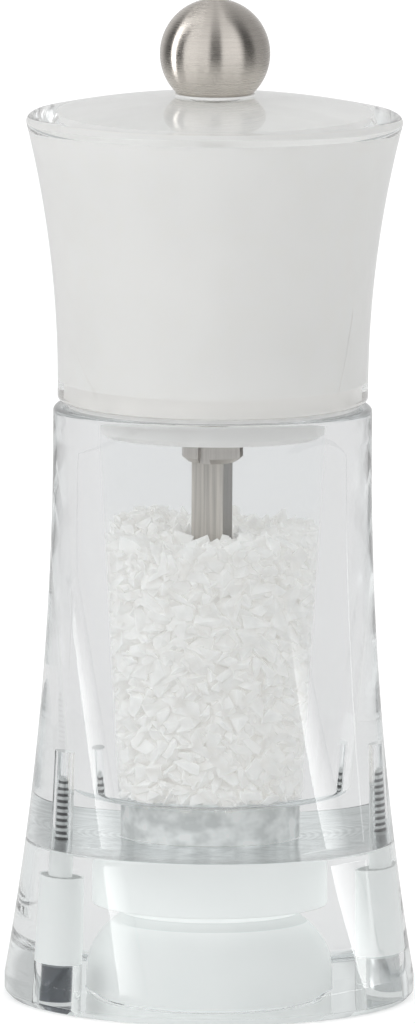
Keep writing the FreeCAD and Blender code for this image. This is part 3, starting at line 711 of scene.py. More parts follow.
def clear_head():
    """Shell and dome as one bonded clear piece over the core."""
    outline = [(HEAD_HOLE_RADIUS, HEAD_FOOT)]
    outline += arc((HEAD_FOOT_RADIUS - EDGE, HEAD_FOOT + EDGE), EDGE, -90, 0, 8)
    outline += head_wall(HEAD_STRAIGHT, HEAD_RIM, 0, 40)
    outline += arc((HEAD_RADIUS - RIM_ROUND, HEAD_RIM), RIM_ROUND, 0, 90, 12)[1:]
    outline += dome(DOME_EDGE, CAP_SEAT_RADIUS, 24)[1:]
    outline += [(STUD_HOLE, CAP_SEAT), (STUD_HOLE, CORE_TOP - BOND)]
    outline += reversed(head_wall(CORE_FOOT + BOND, CORE_TOP - BOND, HEAD_WALL + BOND, 32))
    outline += [(HEAD_HOLE_RADIUS, CORE_FOOT + BOND)]
    return lathe("clear_head", softened(outline, FINE_ROUND))


head_piece = stands_for(clear_head(), "head", "clear_acrylic", "head_shell", "head_cap")
head_piece.data.materials.append(ACRYLIC)

# %% [markdown]
# The core and the plug are an opal white plastic with a painted glow. The glow is stronger on the plug's
# neck, which sits in the clear floor of the head, where little light reaches it.

# %% White core and plug
# Strength of the painted glow on the core and on the plug's neck, and its tint
CORE_PAINTED_GLOW = 0.11
NECK_PAINTED_GLOW = 0.2
PAINTED_GLOW_TINT = (1, 0.985, 0.965)
# Share of the core's height over which the neck's stronger painted glow comes and goes
NECK_EDGE = 0.002


def white_plastic():
    """Smooth opal plastic with a faint mottle and a painted glow, stronger on the plug's neck."""
    material, tree, shader = new_material("white plastic", IOR=1.46, Emission_Strength=1.0)
    tinted(tree, shader, 220, (0.925, 0.912, 0.893), (0.952, 0.94, 0.923))
    give_gloss(tree, shader, 120, 0.32, 0.45)
    level = coordinate(tree, node(tree, "TexCoord").outputs["Object"], "Z")
    share = spread(tree, level, (HEAD_FOOT * MM, CORE_TOP * MM), (0, 1))
    neck_top = (CORE_FOOT - HEAD_FOOT) / (CORE_TOP - HEAD_FOOT)
    glows = ((0, CORE_PAINTED_GLOW), (NECK_EDGE, NECK_PAINTED_GLOW), (neck_top, NECK_PAINTED_GLOW), (neck_top + NECK_EDGE, CORE_PAINTED_GLOW))
    marks = [(place, [glow * channel for channel in PAINTED_GLOW_TINT]) for place, glow in glows]
    feed(tree, ramp(tree, share, marks), shader.inputs["Emission Color"])
    return material


WHITE_PLASTIC = white_plastic()
wear(WHITE_PLASTIC, "head_core", "head_plug")
print("finish:", WHITE_PLASTIC.name)

# %% [markdown]
# ## Steel
# The ball is brushed while it spins, so its lines run round it and its highlight is drawn out across them.
# The shaft is drawn through a die, so its lines run along it. Both use the same group of lines.

# %% Steel finishes
def steel(name, tone, across, along, least, most, anisotropy, depth, low=0.82):
    """Steel with fine lines in its colour, down to a lowest share of it, in its gloss and in its normal."""
    material, tree, shader = new_material(name, Metallic=1.0, Anisotropic=anisotropy,
                                          Anisotropic_Rotation=0.25)
    lines = place_group(tree, BRUSH_LINES, Across=across, Along=along)
    tones = ramp(tree, lines, ((0.3, [low * channel for channel in tone]), (0.7, tone)))
    feed(tree, tones, shader.inputs["Base Color"])
    feed(tree, spread(tree, lines, (0, 1), (least, most)), shader.inputs["Roughness"])
    bumped(tree, shader, lines, 0.25, depth)
    return material


THREAD_PITCH = 0.9
# A wave texture has 20 waves on a length of two pi
WAVES_PER_UNIT = 2 * math.pi / 20
# Painted shade in the thread's grooves, and the steel's tone on its crests
GROOVE_SHADE_AND_CREST = (0.2, (0.08, 0.085, 0.09)), (0.55, (0.66, 0.67, 0.67))


def threaded_steel():
    """Steel with bands of painted shade in the grooves of the thread, which starts at the parting line."""
    material, tree, shader = new_material("threaded steel", Metallic=1.0)
    places = node(tree, "TexCoord").outputs["Object"]
    thread = node(tree, "TexWave", Vector=places, Scale=WAVES_PER_UNIT / (THREAD_PITCH * MM),
                  Phase_Offset=-2 * math.pi * PARTING / THREAD_PITCH)
    thread.bands_direction = "Z"
    feed(tree, ramp(tree, thread.outputs["Fac"], GROOVE_SHADE_AND_CREST), shader.inputs["Base Color"])
    give_gloss(tree, shader, 400, 0.3, 0.45)
    return material


# Painted shade for the left plug and painted light for the right one
SHADED_PLUG_TONE = (0.09, 0.1, 0.115)
LIT_PLUG_TONE = (0.62, 0.63, 0.63)


def plug_steel():
    """Steel painted dark on the left plug as painted shade, and pale on the right plug as painted light."""
    material, tree, shader = new_material("plug steel", Metallic=1.0)
    across = coordinate(tree, node(tree, "TexCoord").outputs["Object"], "X")
    side = spread(tree, across, (-SCREW_CIRCLE * MM / 2, SCREW_CIRCLE * MM / 2), (0, 1))
    feed(tree, ramp(tree, side, ((0, SHADED_PLUG_TONE), (1, LIT_PLUG_TONE))), shader.inputs["Base Color"])
    give_gloss(tree, shader, 400, 0.15, 0.3)
    return material


# Share of the colour left on the shaft's flat that faces right, as painted shade, and the facings over which
# it comes in
RIGHT_FLAT_SHADE = 0.42
RIGHT_FLAT_FACING = (0.85, 0.92)


def paint_right_flat_shade(material):
    """Darken with painted shade the one flat of the shaft that faces right."""
    tree = material.node_tree
    shader = tree.nodes["Principled BSDF"]
    tone = shader.inputs["Base Color"].links[0].from_socket
    facing = coordinate(tree, node(tree, "TexCoord").outputs["Normal"], "X")
    share = spread(tree, facing, RIGHT_FLAT_FACING, (1, RIGHT_FLAT_SHADE))
    shaded_tone = node(tree, "VectorMath", "SCALE", Vector=tone, Scale=share)
    feed(tree, shaded_tone.outputs["Vector"], shader.inputs["Base Color"])


BRUSHED_STEEL = steel("brushed steel", (0.7, 0.655, 0.605), 60, 7000, 0.25, 0.3, 1.0, 0.000012, 0.88)
THREADED_STEEL = threaded_steel()
DRAWN_STEEL = steel("drawn steel", (0.58, 0.55, 0.52), 5000, 60, 0.3, 0.45, 0.4, 0.00002)
SHAFT_STEEL = steel("shaft steel", (0.61, 0.575, 0.535), 3500, 60, 0.3, 0.45, 0.4, 0.00002, 0.66)
PLUG_STEEL = plug_steel()
BRIGHT_STEEL = steel("bright steel", (0.66, 0.66, 0.66), 1500, 1500, 0.15, 0.3, 0.0, 0.00001)
paint_right_flat_shade(SHAFT_STEEL)
wear(SHAFT_STEEL, "spindle")
wear(PLUG_STEEL, "foot_plugs")
wear(DRAWN_STEEL, "stop_collar", "drive_plate", "bridge")
wear(THREADED_STEEL, "base_screws")
wear(BRIGHT_STEEL, "screw_washers", "plug_screws", "rotor_washer", "rotor_clip")
print("steels:", [made.name for made in bpy.data.materials if "steel" in made.name])

# %% Ball knob
KNOB_RADIUS = reach("knob")
KNOB_CENTRE = top("knob") - KNOB_RADIUS
KNOB_BORE = 2.0
KNOB_EDGE = 0.15
KNOB_BORE_TOP = KNOB_FOOT + 7.6


def ball_knob():
    """Steel ball with a flat underside and a bore."""
    lean = math.degrees(math.asin((KNOB_FOOT - KNOB_CENTRE) / KNOB_RADIUS))
    outline = [(KNOB_BORE, KNOB_FOOT)]
    outline += arc((0, KNOB_CENTRE), KNOB_RADIUS, lean, 90, 72)[:-1]
    outline += [(0, KNOB_CENTRE + KNOB_RADIUS), (0, KNOB_BORE_TOP), (KNOB_BORE, KNOB_BORE_TOP)]
    return lathe("ball_knob", softened(outline, KNOB_EDGE))


knob_piece = stands_for(ball_knob(), "knob", "brushed_steel", "knob")
knob_piece.data.materials.append(BRUSHED_STEEL)

# %% [markdown]
# ## Small pale pieces and the grinder
# The glide ring, the washer below the ball and the bush are a slippery pale polymer. The grinder is white
# ceramic, dry and slightly grainy.

# %% Polymer and ceramic
# Painted glow that lightens the polymer pieces, such as the glide ring in the dark joint between head and
# body
POLYMER_PAINTED_GLOW = 0.12


def pale_polymer():
    """Satin, slightly waxy polymer with a faint painted glow."""
    material, tree, shader = new_material("pale polymer", IOR=1.41, Emission_Color=WHITE,
                                          Emission_Strength=POLYMER_PAINTED_GLOW)
    tinted(tree, shader, 300, (0.64, 0.64, 0.63), (0.7, 0.7, 0.69))
    give_gloss(tree, shader, 150, 0.4, 0.55)
    return material


def white_ceramic():
    """Dry white ceramic with a fine grain."""
    material, tree, shader = new_material("white ceramic", IOR=1.6)
    tinted(tree, shader, 900, (0.82, 0.82, 0.8), (0.9, 0.9, 0.88))
    give_gloss(tree, shader, 700, 0.5, 0.7)
    grain = node(tree, "TexNoise", Scale=4000)
    bumped(tree, shader, grain.outputs["Fac"], 0.2, 0.00003)
    return material


POLYMER = pale_polymer()
CERAMIC = white_ceramic()
wear(POLYMER, "glide_ring", "knob_washer", "bridge_bush")
wear(CERAMIC, "stator", "rotor")
print("finishes:", POLYMER.name, CERAMIC.name)

# %% [markdown]
# ## The spring
# The coil above the rotor is a smooth wire. It is made again as a fine tube along a helix.

# %% Coil spring
WIRE = 0.5
COIL_RADIUS = reach("spring") - WIRE / 2
COIL_TURNS = 4.0


def coil_spring(steps=160, sides=14):
    """A round wire along a helix, with flat ends."""
    low = foot("spring") + WIRE / 2
    high = top("spring") - WIRE / 2
    places = []
    for index in range(steps + 1):
        share = index / steps
        angle = 2 * math.pi * COIL_TURNS * share
        outward = Vector((math.cos(angle), math.sin(angle), 0))
        centre = outward * COIL_RADIUS + Vector((0, 0, low + (high - low) * share))
        for side in range(sides):
            round_angle = 2 * math.pi * side / sides
            offset = outward * math.cos(round_angle) + Vector((0, 0, math.sin(round_angle)))
            places.append(tuple(centre + offset * WIRE / 2))
    faces = [list(range(sides)), [steps * sides + side for side in range(sides)]]
    for index in range(steps):
        for side in range(sides):
            here = index * sides
            after = (side + 1) % sides
            faces.append([here + side, here + after, here + sides + after, here + sides + side])
    return as_mesh("coil_spring", places, faces)


spring_piece = stands_for(coil_spring(), "spindle", "bright_steel", "spring")
spring_piece.data.materials.append(BRIGHT_STEEL)
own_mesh(spring_piece)

# %% [markdown]
# ## The salt
# Coarse salt is a heap of broken, cloudy crystals. A smooth solid with a bumpy shader would still look like
# plaster, so real crystals are packed against the chamber's wall, on the heap's top and on the floor. A few
# dozen shapes are made as hulls of scattered points and then placed many times, turned and scaled. A white
# bed inside the heap closes the view between them.

# %% Crystal shapes
SALT_SEED = 7
SHAPES = 36
CORNERS = 13
# Half the length, width and height of the box in which a crystal's corners lie, before it is halved again
BROKEN = (1, 0.85, 0.5)
dice = random.Random(SALT_SEED)


def crystal_shape():
    """Points and triangles of one broken crystal about one unit across."""
    work = bmesh.new()
    for _ in range(CORNERS):
        place = Vector([dice.uniform(-side, side) for side in BROKEN])
        work.verts.new(place / 2)
    hull = bmesh.ops.convex_hull(work, input=work.verts)
    inner = set(hull["geom_interior"] + hull["geom_unused"])
    spare = [vertex for vertex in work.verts if vertex in inner]
    bmesh.ops.delete(work, geom=spare, context="VERTS")
    bmesh.ops.triangulate(work, faces=work.faces)
    bmesh.ops.recalc_face_normals(work, faces=work.faces)
    work.verts.index_update()
    places = np.array([vertex.co for vertex in work.verts])
    faces = np.array([[vertex.index for vertex in face.verts] for face in work.faces])
    work.free()
    return places, faces


CRYSTALS = [crystal_shape() for _ in range(SHAPES)]
print("crystal shapes:", len(CRYSTALS))

# %% Places of the crystals
SALT_TOP = top("salt_charge")
SALT_DIP = 3.0
SALT_WAVE = 1.1
WAVE_TURN = 0.9
SALT_FOOT = foot("salt_charge")
SHAFT_CLEAR = bore("salt_charge")
WALL_GAP = 0.08
WALL_LAYERS = (1.0, 2.3)
WALL_STEP = 1.75
ROW_STEP = 1.5
ROW_SHAKE = 0.6
SHAKE = 0.3
LEVEL_SHAKE = 0.4
# How far a crystal's middle stays away from a wall, a floor or the shaft
GRAIN = 1.2
TAPER_FOOT = FLOOR + CHAMBER_ROUND
TAPER = (CHAMBER_TOP - CHAMBER_FOOT) / (MOUTH_FOOT - SHOULDER - TAPER_FOOT)


def chamber_radius(z):
    """Inner radius of the chamber at a height."""
    if z < FLOOR:
        return THROAT
    if z < TAPER_FOOT:
        drop = TAPER_FOOT - z
        return CHAMBER_FOOT - CHAMBER_ROUND + math.sqrt(max(CHAMBER_ROUND ** 2 - drop ** 2, 0))
    return CHAMBER_FOOT + TAPER * (z - TAPER_FOOT)


def heap_height(radius, angle):
    """Height of the heap's top, lower beside the shaft and uneven round it."""
    share = min(radius / chamber_radius(SALT_TOP), 1)
    return SALT_TOP - SALT_DIP * (1 - share) - SALT_WAVE * share * (1 - math.cos(2 * angle + WAVE_TURN))


def round_angles(count):
    """Angles of a ring of crystals, evenly spread and then shaken, one after the other."""
    start = dice.uniform(0, 2 * math.pi)
    for index in range(count):
        yield start + 2 * math.pi * (index + dice.uniform(-SHAKE, SHAKE)) / count


def wall_places():
    """Places in two loose layers against the chamber's wall."""
    places = []
    for depth in WALL_LAYERS:
        z = FLOOR + GRAIN
        while z < SALT_TOP:
            radius = chamber_radius(z) - depth
            for angle in round_angles(int(2 * math.pi * radius / WALL_STEP)):
                if z < heap_height(radius, angle) - ROW_SHAKE:
                    places.append((radius + dice.uniform(-SHAKE, SHAKE), angle,
                                   z + dice.uniform(-ROW_SHAKE, ROW_SHAKE)))
            z += ROW_STEP
    return places


def level_places(height, inner, outer, step, jitter):
    """Places on a level that may slope with the radius."""
    places = []
    radius = inner
    while radius < outer:
        for angle in round_angles(max(int(2 * math.pi * radius / step), 4)):
            z = height(radius, angle) + dice.uniform(-jitter, jitter)
            places.append((radius + dice.uniform(-LEVEL_SHAKE, LEVEL_SHAKE), angle, z))
        radius += step
    return places


salt_places = wall_places()
for depth, jitter in ((0.9, 0.7), (2.0, 0.5)):
    salt_places += level_places(lambda r, a: heap_height(r, a) - depth, SHAFT_CLEAR + GRAIN,
                                CHAMBER_TOP - 1.0, 1.9, jitter)
salt_places += level_places(lambda r, a: FLOOR + 1.1, THROAT - 1.0, CHAMBER_FOOT - GRAIN, 1.8, 0.3)
salt_places += level_places(lambda r, a: SALT_FOOT + GRAIN, SHAFT_CLEAR + GRAIN, THROAT - 0.9, 1.7, 0.4)
print("crystals:", len(salt_places))


# %% Heap of salt
CRYSTAL_SIZES = (2.7, 4.9)


def heap_of_salt():
    """All crystals as one mesh, held inside the chamber and clear of the shaft."""
    all_places = []
    all_faces = []
    first = 0
    for radius, angle, z in salt_places:
        places, faces = CRYSTALS[dice.randrange(len(CRYSTALS))]
        turn = Quaternion([dice.gauss(0, 1) for _ in range(4)]).normalized()
        size = dice.uniform(*CRYSTAL_SIZES)
        turned = places @ np.array(turn.to_matrix()).T * size
        turned += [radius * math.cos(angle), radius * math.sin(angle), z]
        all_places.append(turned)
        all_faces.append(faces + first)
        first += len(places)
    points = np.vstack(all_places)
    radii = np.hypot(points[:, 0], points[:, 1])
    points[:, 2] = np.clip(points[:, 2], SALT_FOOT, SALT_TOP)
    most = np.array([chamber_radius(z) - WALL_GAP for z in points[:, 2]])
    held = np.clip(radii, SHAFT_CLEAR, most) / radii
    points[:, :2] *= held[:, None]
    mesh = bpy.data.meshes.new("salt_heap")
    mesh.from_pydata((points * MM).tolist(), [], np.vstack(all_faces).tolist())
    piece = bpy.data.objects.new("salt_heap", mesh)
    scene.collection.objects.link(piece)
    return piece


BED_FOOT = SALT_FOOT + 0.8
BED_INSET = 1.9
BED_TOP = SALT_TOP - 4.6
BED_MIDDLE = SALT_TOP - SALT_DIP - 2.6


def salt_bed():
    """White filling below the crystals."""
    outline = [(SHAFT_CLEAR, BED_FOOT), (THROAT - GRAIN, BED_FOOT), (THROAT - GRAIN, FLOOR + GRAIN)]
    outline += [(chamber_radius(z) - BED_INSET, z) for z in np.linspace(FLOOR + 1.3, BED_TOP, 30)]
    outline += [(SHAFT_CLEAR, BED_MIDDLE)]
    return lathe("salt_bed", outline, 96)


# Painted glow that stands in for light coming back after many scatterings inside the heap, beyond the bounces
# that are traced
SALT_GLOW = 0.135


def coarse_salt():
    """Cloudy white crystal that light soaks into, with a painted glow that lifts its shaded sides."""
    material, tree, shader = new_material("coarse salt", IOR=1.54, Subsurface_Weight=0.85,
                                          Subsurface_Scale=0.0016, Subsurface_Radius=(1, 1, 1),
                                          Emission_Color=(1, 0.985, 0.955, 1), Emission_Strength=SALT_GLOW)
    tinted(tree, shader, 700, (0.79, 0.785, 0.77), (0.86, 0.855, 0.84))
    give_gloss(tree, shader, 900, 0.3, 0.55)
    return material


SALT = coarse_salt()
heap = stands_for(heap_of_salt(), "body", "coarse_salt", "salt_charge")
heap.data.materials.append(SALT)
bed = salt_bed()
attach(bed, "body")
bed.data.materials.append(SALT)

# %% [markdown]
# ## Floor, light and white background
# The mill stands on a pale floor in even studio light, with a white background by colour alone: the floor and
# the world show brighter to the camera than the light that they throw on surfaces. Clear plastic shows the
# studio itself, an even pale grey.

# %% Floor
FLOOR_RADIUS = 4000
FLOOR_TONE = (0.66, 0.66, 0.66, 1)
FLOOR_GLOW = 0.4
# Painted glow of the floor close to the mill, which lifts the mill's shadow in the view through the foot, and
# where it starts and ends
NEAR_PAINTED_GLOW = 0.12
NEAR = 30
FAR = 105
DISC_RADIUS = FOOT_RADIUS - 1.5
RING_STEPS = 96


def round_sheet(name, first, last, steps):
    """A mesh between two circles of radius and height, in millimetres."""
    angles = [2 * math.pi * index / steps for index in range(steps)]
    places = [(radius * MM * math.cos(angle), radius * MM * math.sin(angle), z * MM)
              for radius, z in (first, last) for angle in angles]
    faces = []
    for index in range(steps):
        after = (index + 1) % steps
        faces.append([index, index + steps, after + steps, after])
    mesh = bpy.data.meshes.new(name)
    mesh.from_pydata(places, [], faces)
    return mesh


def floor_finish():
    """Pale matt floor that is brighter to the camera, and near the mill has a painted glow for the view
    through the foot.
    """
    material, tree, shader = new_material("pale floor", Base_Color=FLOOR_TONE, Roughness=0.9,
                                          Emission_Color=WHITE, Specular_IOR_Level=0.0)
    path = node(tree, "LightPath").outputs
    place = node(tree, "NewGeometry").outputs["Position"]
    distance = node(tree, "VectorMath", "LENGTH", Vector=place)
    near = spread(tree, distance.outputs["Value"], (NEAR * MM, FAR * MM), (NEAR_PAINTED_GLOW, 0))
    seen = calculated(tree, "MULTIPLY", path["Is Camera Ray"], FLOOR_GLOW)
    glow = calculated(tree, "MULTIPLY_ADD", path["Is Transmission Ray"], near, seen)
    feed(tree, glow, shader.inputs["Emission Strength"])
    return material


def pale_floor():
    """A round pale floor that shows the mill's soft shadow, open below the foot."""
    mesh = round_sheet("pale_floor", (DISC_RADIUS, 0), (FLOOR_RADIUS, 0), RING_STEPS)
    mesh.materials.append(floor_finish())
    floor = bpy.data.objects.new("pale_floor", mesh)
    scene.collection.objects.link(floor)
    floor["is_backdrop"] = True


pale_floor()
print("floor radius", FLOOR_RADIUS, "mm, glow", FLOOR_GLOW)

# %% World
WORLD_LIGHT = 1.12
TINT = (0.97, 1.0, 0.995)
MIRROR_LIGHT = 0.74
# What stands round the mill, as clear plastic shows it: two bearings in degrees from the camera to the right,
# between which a panel stands, and its brightness. Light fades from each panel to the next.
THROUGH = {
    "wall behind, left half": (-180, -150, 0.75),
    "grey flag, left": (-140, -118, 0.5),
    "studio": (-106, 106, 0.76),
    "grey flag, right": (118, 138, 0.5),
    "wall behind, right half": (148, 180, 0.76),
}


def compass(tree, place, panels, most, tint):
    """Colour of the panels round the mill for a place or direction, as a part of a greatest brightness."""
    towards = calculated(tree, "MULTIPLY", coordinate(tree, place, "Y"), -1)
    bearing = calculated(tree, "ARCTAN2", coordinate(tree, place, "X"), towards)
    marks = []
    for first, last, strength in panels.values():
        colour = [strength / most * channel for channel in tint]
        marks += [((first + 180) / 360, colour), ((last + 180) / 360, colour)]
    return ramp(tree, spread(tree, bearing, (-math.pi, math.pi), (0, 1)), marks)


def white_world():
    """A world that lights evenly, is white to the camera, and a studio in mirrors and through plastic."""
    world = bpy.data.worlds.new("white world")
    scene.world = world
    world.use_nodes = True
    tree = world.node_tree
    tree.nodes.clear()
    path = node(tree, "LightPath").outputs
    through = compass(tree, node(tree, "TexCoord").outputs["Generated"], THROUGH, 1, TINT)
    result = node(tree, "Background", Color=WHITE, Strength=WORLD_LIGHT).outputs["Background"]
    looks = (("Glossy", WHITE, MIRROR_LIGHT), ("Transmission", through, 1), ("Camera", WHITE, 1))
    for kind, colour, strength in looks:
        look = node(tree, "Background", Color=colour, Strength=strength)
        result = blended(tree, path[f"Is {kind} Ray"], result, look.outputs["Background"])
    feed(tree, result, node(tree, "OutputWorld").inputs["Surface"])


white_world()
print("world light", WORLD_LIGHT)


# %% Lamps
def soft_lamp(name, place, target, size, power):
    """A square soft lamp aimed at a point."""
    data = bpy.data.lights.new(name, "AREA")
    data.shape = "SQUARE"
    data.size = size
    data.energy = power
    lamp = bpy.data.objects.new(name, data)
    lamp.location = place
    lamp.rotation_mode = "QUATERNION"
    lamp.rotation_quaternion = (Vector(target) - Vector(place)).to_track_quat("-Z", "Y")
    lamp.visible_camera = False
    scene.collection.objects.link(lamp)


MILL_MIDDLE = (0, 0, 0.07)
soft_lamp("left lamp", (-0.8, -0.5, 0.5), MILL_MIDDLE, 0.6, 1.2)

# %% [markdown]
# A lit disc lies below the foot, as under glassware on a light table. Clear plastic would otherwise show the
# dark of its own shadow. The foot covers the disc, and the floor round it keeps the mill's soft shadow.

# %% Lit disc
DISC_GLOW = 0.56


def lit_disc():
    """A glowing disc below the foot."""
    disc = lathe("lit_disc", [(0, -1), (DISC_RADIUS, -1), (DISC_RADIUS, -0.05), (0, -0.05)], RING_STEPS)
    material, _, _ = new_material("lit disc", Base_Color=(0.3, 0.3, 0.3, 1), Roughness=0.9,
                                  Specular_IOR_Level=0.0, Emission_Color=(0.97, 1, 0.99, 1),
                                  Emission_Strength=DISC_GLOW)
    disc.data.materials.append(material)
    disc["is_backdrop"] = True


lit_disc()
print("lit disc of radius", round(DISC_RADIUS, 1), "mm")

# %% [markdown]
# The steel ball mirrors the studio sharply enough to show its bright and dark sides. They stand on a tall
# drum round the mill that only mirrors see. The drum is open to whatever lies below the ball, so that the
# clear plastic doesn't mirror it.

# %% Drum for the ball
DRUM_RADIUS = 400
DRUM_FOOT = 1
DRUM_HEIGHT = 1500
DRUM_STEPS = 128
DRUM_OPEN = DOME_TOP + 1
DRUM_FULL = DOME_TOP + 4
# What the ball mirrors: bearings from and to, and brightness, as above
BALL_STUDIO = {
    "wall behind, left half": (-180, -147, 0.65),
    "black flag beside the edge light": (-121, -104, 0.1),
    "edge light": (-101, -93, 5.0),
    "gap, left": (-90, -74, 0.02),
    "soft box, left": (-66, -16, 1.05),
    "gap at the camera": (-6, 10, 0.0),
    "soft box, right": (18, 54, 1.1),
    "gap, right": (68, 86, 0.05),
    "side wall, right": (98, 130, 0.4),
    "wall behind, right half": (178, 180, 0.7),
}
BRIGHTEST = max(brightness for _, _, brightness in BALL_STUDIO.values())


def empty_material(name):
    """A material without a shader, its nodes and the socket of its surface."""
    material = bpy.data.materials.new(name)
    material.use_nodes = True
    tree = material.node_tree
    tree.nodes.clear()
    return material, tree, node(tree, "OutputMaterial").inputs["Surface"]


def arrival(tree, radius):
    """Height at which light from a round wall of a radius arrives at the mill."""
    place = node(tree, "NewGeometry").outputs
    lean = calculated(tree, "ARCSINE", coordinate(tree, place["Incoming"], "Z"))
    slope = calculated(tree, "TANGENT", lean)
    return calculated(tree, "MULTIPLY_ADD", slope, radius * MM, coordinate(tree, place["Position"], "Z"))


def drum_light():
    """Light by compass that is only there for what lies above the dome."""
    material, tree, surface = empty_material("drum light")
    seen = spread(tree, arrival(tree, DRUM_RADIUS), (DRUM_OPEN * MM, DRUM_FULL * MM), (0, 1))
    place = node(tree, "NewGeometry").outputs["Position"]
    shades = compass(tree, place, BALL_STUDIO, BRIGHTEST, WHITE[:3])
    light = node(tree, "Emission", Color=shades, Strength=BRIGHTEST)
    through = node(tree, "BsdfTransparent")
    feed(tree, blended(tree, seen, through.outputs["BSDF"], light.outputs["Emission"]), surface)
    return material


def only_mirrored(name, mesh, material):
    """A thing of the stage that is hidden from all but mirrors."""
    mesh.materials.append(material)
    made = bpy.data.objects.new(name, mesh)
    for kind in ("camera", "diffuse", "transmission", "shadow"):
        setattr(made, f"visible_{kind}", False)
    scene.collection.objects.link(made)
    made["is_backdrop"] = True


drum = round_sheet("studio_drum", (DRUM_RADIUS, DRUM_FOOT), (DRUM_RADIUS, DRUM_HEIGHT), DRUM_STEPS)
only_mirrored("studio_drum", drum, drum_light())
print("drum of radius", DRUM_RADIUS, "mm, brightest", BRIGHTEST)

# %% [markdown]
# ## Camera
# The photograph was taken from a little above the mill with a long lens, so its upright lines stay almost
# parallel. The picture is 415 by 1024 pixels, and its long side spans a known height at the mill.

# %% Camera
LENS = 650
SENSOR = 36
FRAME_HEIGHT = 143.2
ELEVATION = 7.9
ROLL = 0.37
AIM = Vector((-0.64, 0, 68.2))


def photo_camera():
    """A long-lens camera at the photograph's angle."""
    data = bpy.data.cameras.new("photo camera")
    data.lens = LENS
    data.sensor_width = SENSOR
    distance = FRAME_HEIGHT * MM * LENS / SENSOR
    lift = math.radians(ELEVATION)
    away = Vector((0, -math.cos(lift), math.sin(lift)))
    camera = bpy.data.objects.new("photo camera", data)
    camera.location = AIM * MM + away * distance
    camera.rotation_mode = "QUATERNION"
    level = (-away).to_track_quat("-Z", "Y")
    camera.rotation_quaternion = level @ Quaternion((0, 0, 1), math.radians(ROLL))
    data.clip_start = 0.1
    data.clip_end = 20
    scene.collection.objects.link(camera)
    scene.camera = camera
    return camera


camera = photo_camera()
print("camera distance", round((camera.location - AIM * MM).length, 2), "m")

# %% [markdown]
# ## Strips of light
# Two bright bands lean across the flared body in the photograph. They are mirror images of two long strips of
# light. A strip is built backwards from its band: a line of sight from the camera through a point of the band
# is mirrored by the flare and followed outwards, to the round wall on which the strips hang. Each strip is
# bright at one edge and fades out towards the other. Shades in front of them, as photographers use, shut off
# the light that would arrive above the neck, so the head doesn't mirror them. The strips light nothing.

# %% Lines of sight
STRIP_RADIUS = 500
HALVINGS = 40


def line_of_sight(across, up):
    """Camera's place and the direction to a point of the picture, in millimetres from its middle."""
    turn = camera.rotation_quaternion
    eye = camera.location / MM
    point = AIM + turn @ Vector((across, up, 0))
    return eye, (point - eye).normalized()


def on_flare(eye, sight):
    """Where a line of sight meets the flare, by halving the way between a point outside and one inside."""
    inside = -(eye.x * sight.x + eye.y * sight.y) / (sight.x ** 2 + sight.y ** 2)
    outside = inside - 2 * FOOT_RADIUS
    for _ in range(HALVINGS):
        middle = (inside + outside) / 2
        place = eye + sight * middle
        if place.xy.length < flare_radius(place.z):
            inside = middle
        else:
            outside = middle
    return eye + sight * inside


def mirrored(across, up):
    """Point of the strips' round wall that the flare mirrors to a point of the picture."""
    eye, sight = line_of_sight(across, up)
    place = on_flare(eye, sight)
    drop = NECK - place.z
    outward = place.xy.normalized()
    normal = Vector((*outward, drop / math.sqrt(FLARE_ARC ** 2 - drop ** 2)))
    away = sight.reflect(normal)
    along = place.xy.dot(away.xy) / away.xy.length_squared
    rest = (STRIP_RADIUS ** 2 - place.xy.length_squared) / away.xy.length_squared
    return place + away * (math.sqrt(along ** 2 + rest) - along)


print("a point left of the middle mirrors", [round(c) for c in mirrored(-15, -40)], "mm")

# %% Strips of light
STRIP_GLOW = 6.0
SHADE_OPEN = 66
SHADE_SHUT = 74
STRIP_STEPS = 16
# Where each band starts and ends in the picture, in millimetres from its middle to the right and upwards, how
# much of its lean comes late, its width at both ends and its brightness
LEFT_BAND = {"start": (-19.8, -8.8), "end": (-12.2, -68.2), "bend": 0.0, "widths": (1.7, 4.0), "bright": 0.95}
RIGHT_BAND = {"start": (11.1, -12.3), "end": (22.3, -68.2), "bend": 0.57, "widths": (1.8, 4.8), "bright": 1.1}
# Share of a band's length over which it comes up to its brightness
COMES_UP = 0.3
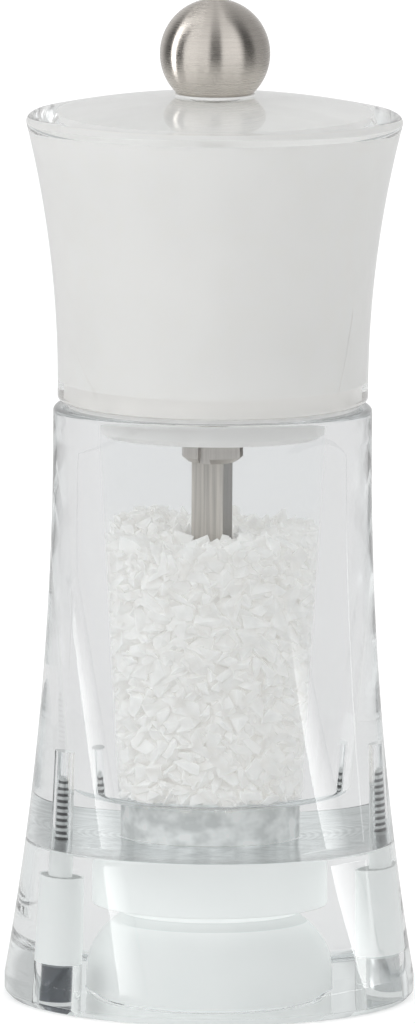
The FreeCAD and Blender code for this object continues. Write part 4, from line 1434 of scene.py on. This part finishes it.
# Share of the way to the dark edge, and of the brightness left there
STRIP_FADE = ((0, 1.0), (0.35, 0.6), (1, 0.0))


def strip_light():
    """Light whose strength follows a mesh's own brightness, behind a shade for what lies above the neck."""
    material, tree, surface = empty_material("strip light")
    bright = node(tree, "Attribute")
    bright.attribute_name = "bright"
    shade = spread(tree, arrival(tree, STRIP_RADIUS), (SHADE_OPEN * MM, SHADE_SHUT * MM), (STRIP_GLOW, 0))
    strength = calculated(tree, "MULTIPLY", bright.outputs["Fac"], shade)
    feed(tree, node(tree, "Emission", Strength=strength).outputs["Emission"], surface)
    return material


STRIP_LIGHT = strip_light()


def strip(name, band):
    """A strip of light that the flare mirrors to a band of the picture."""
    first, last = Vector(band["start"]), Vector(band["end"])
    thin, wide = band["widths"]
    places = []
    bright = []
    for way, part in STRIP_FADE:
        for step in range(STRIP_STEPS + 1):
            share = step / STRIP_STEPS
            lean = share * (1 - band["bend"]) + share ** 2 * band["bend"]
            across = first.x + (last.x - first.x) * lean + way * (thin + (wide - thin) * share)
            places.append(mirrored(across, first.y + (last.y - first.y) * share))
            bright.append(part * band["bright"] * min(share / COMES_UP, 1))
    count = STRIP_STEPS + 1
    faces = []
    for row in range(len(STRIP_FADE) - 1):
        for index in range(STRIP_STEPS):
            here = row * count + index
            faces.append([here, here + 1, here + count + 1, here + count])
    mesh = bpy.data.meshes.new(name)
    mesh.from_pydata([place * MM for place in places], [], faces)
    mesh.attributes.new("bright", "FLOAT", "POINT").data.foreach_set("value", bright)
    only_mirrored(name, mesh, STRIP_LIGHT)
    ends = [[round(c) for c in places[index]] for index in (0, STRIP_STEPS)]
    print(name, "runs from", ends[0], "to", ends[1], "mm")


strip("left_strip", LEFT_BAND)
strip("right_strip", RIGHT_BAND)

# %% Render settings and finish
scene.view_settings.view_transform = "Standard"
scene.cycles.use_denoising = True
scene.cycles.transmission_bounces = 24
scene.cycles.glossy_bounces = 16
scene.cycles.max_bounces = 28
visual_box = [list(corner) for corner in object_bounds()]
print("visual box in mm:", [[round(x / MM, 1) for x in corner] for corner in visual_box])
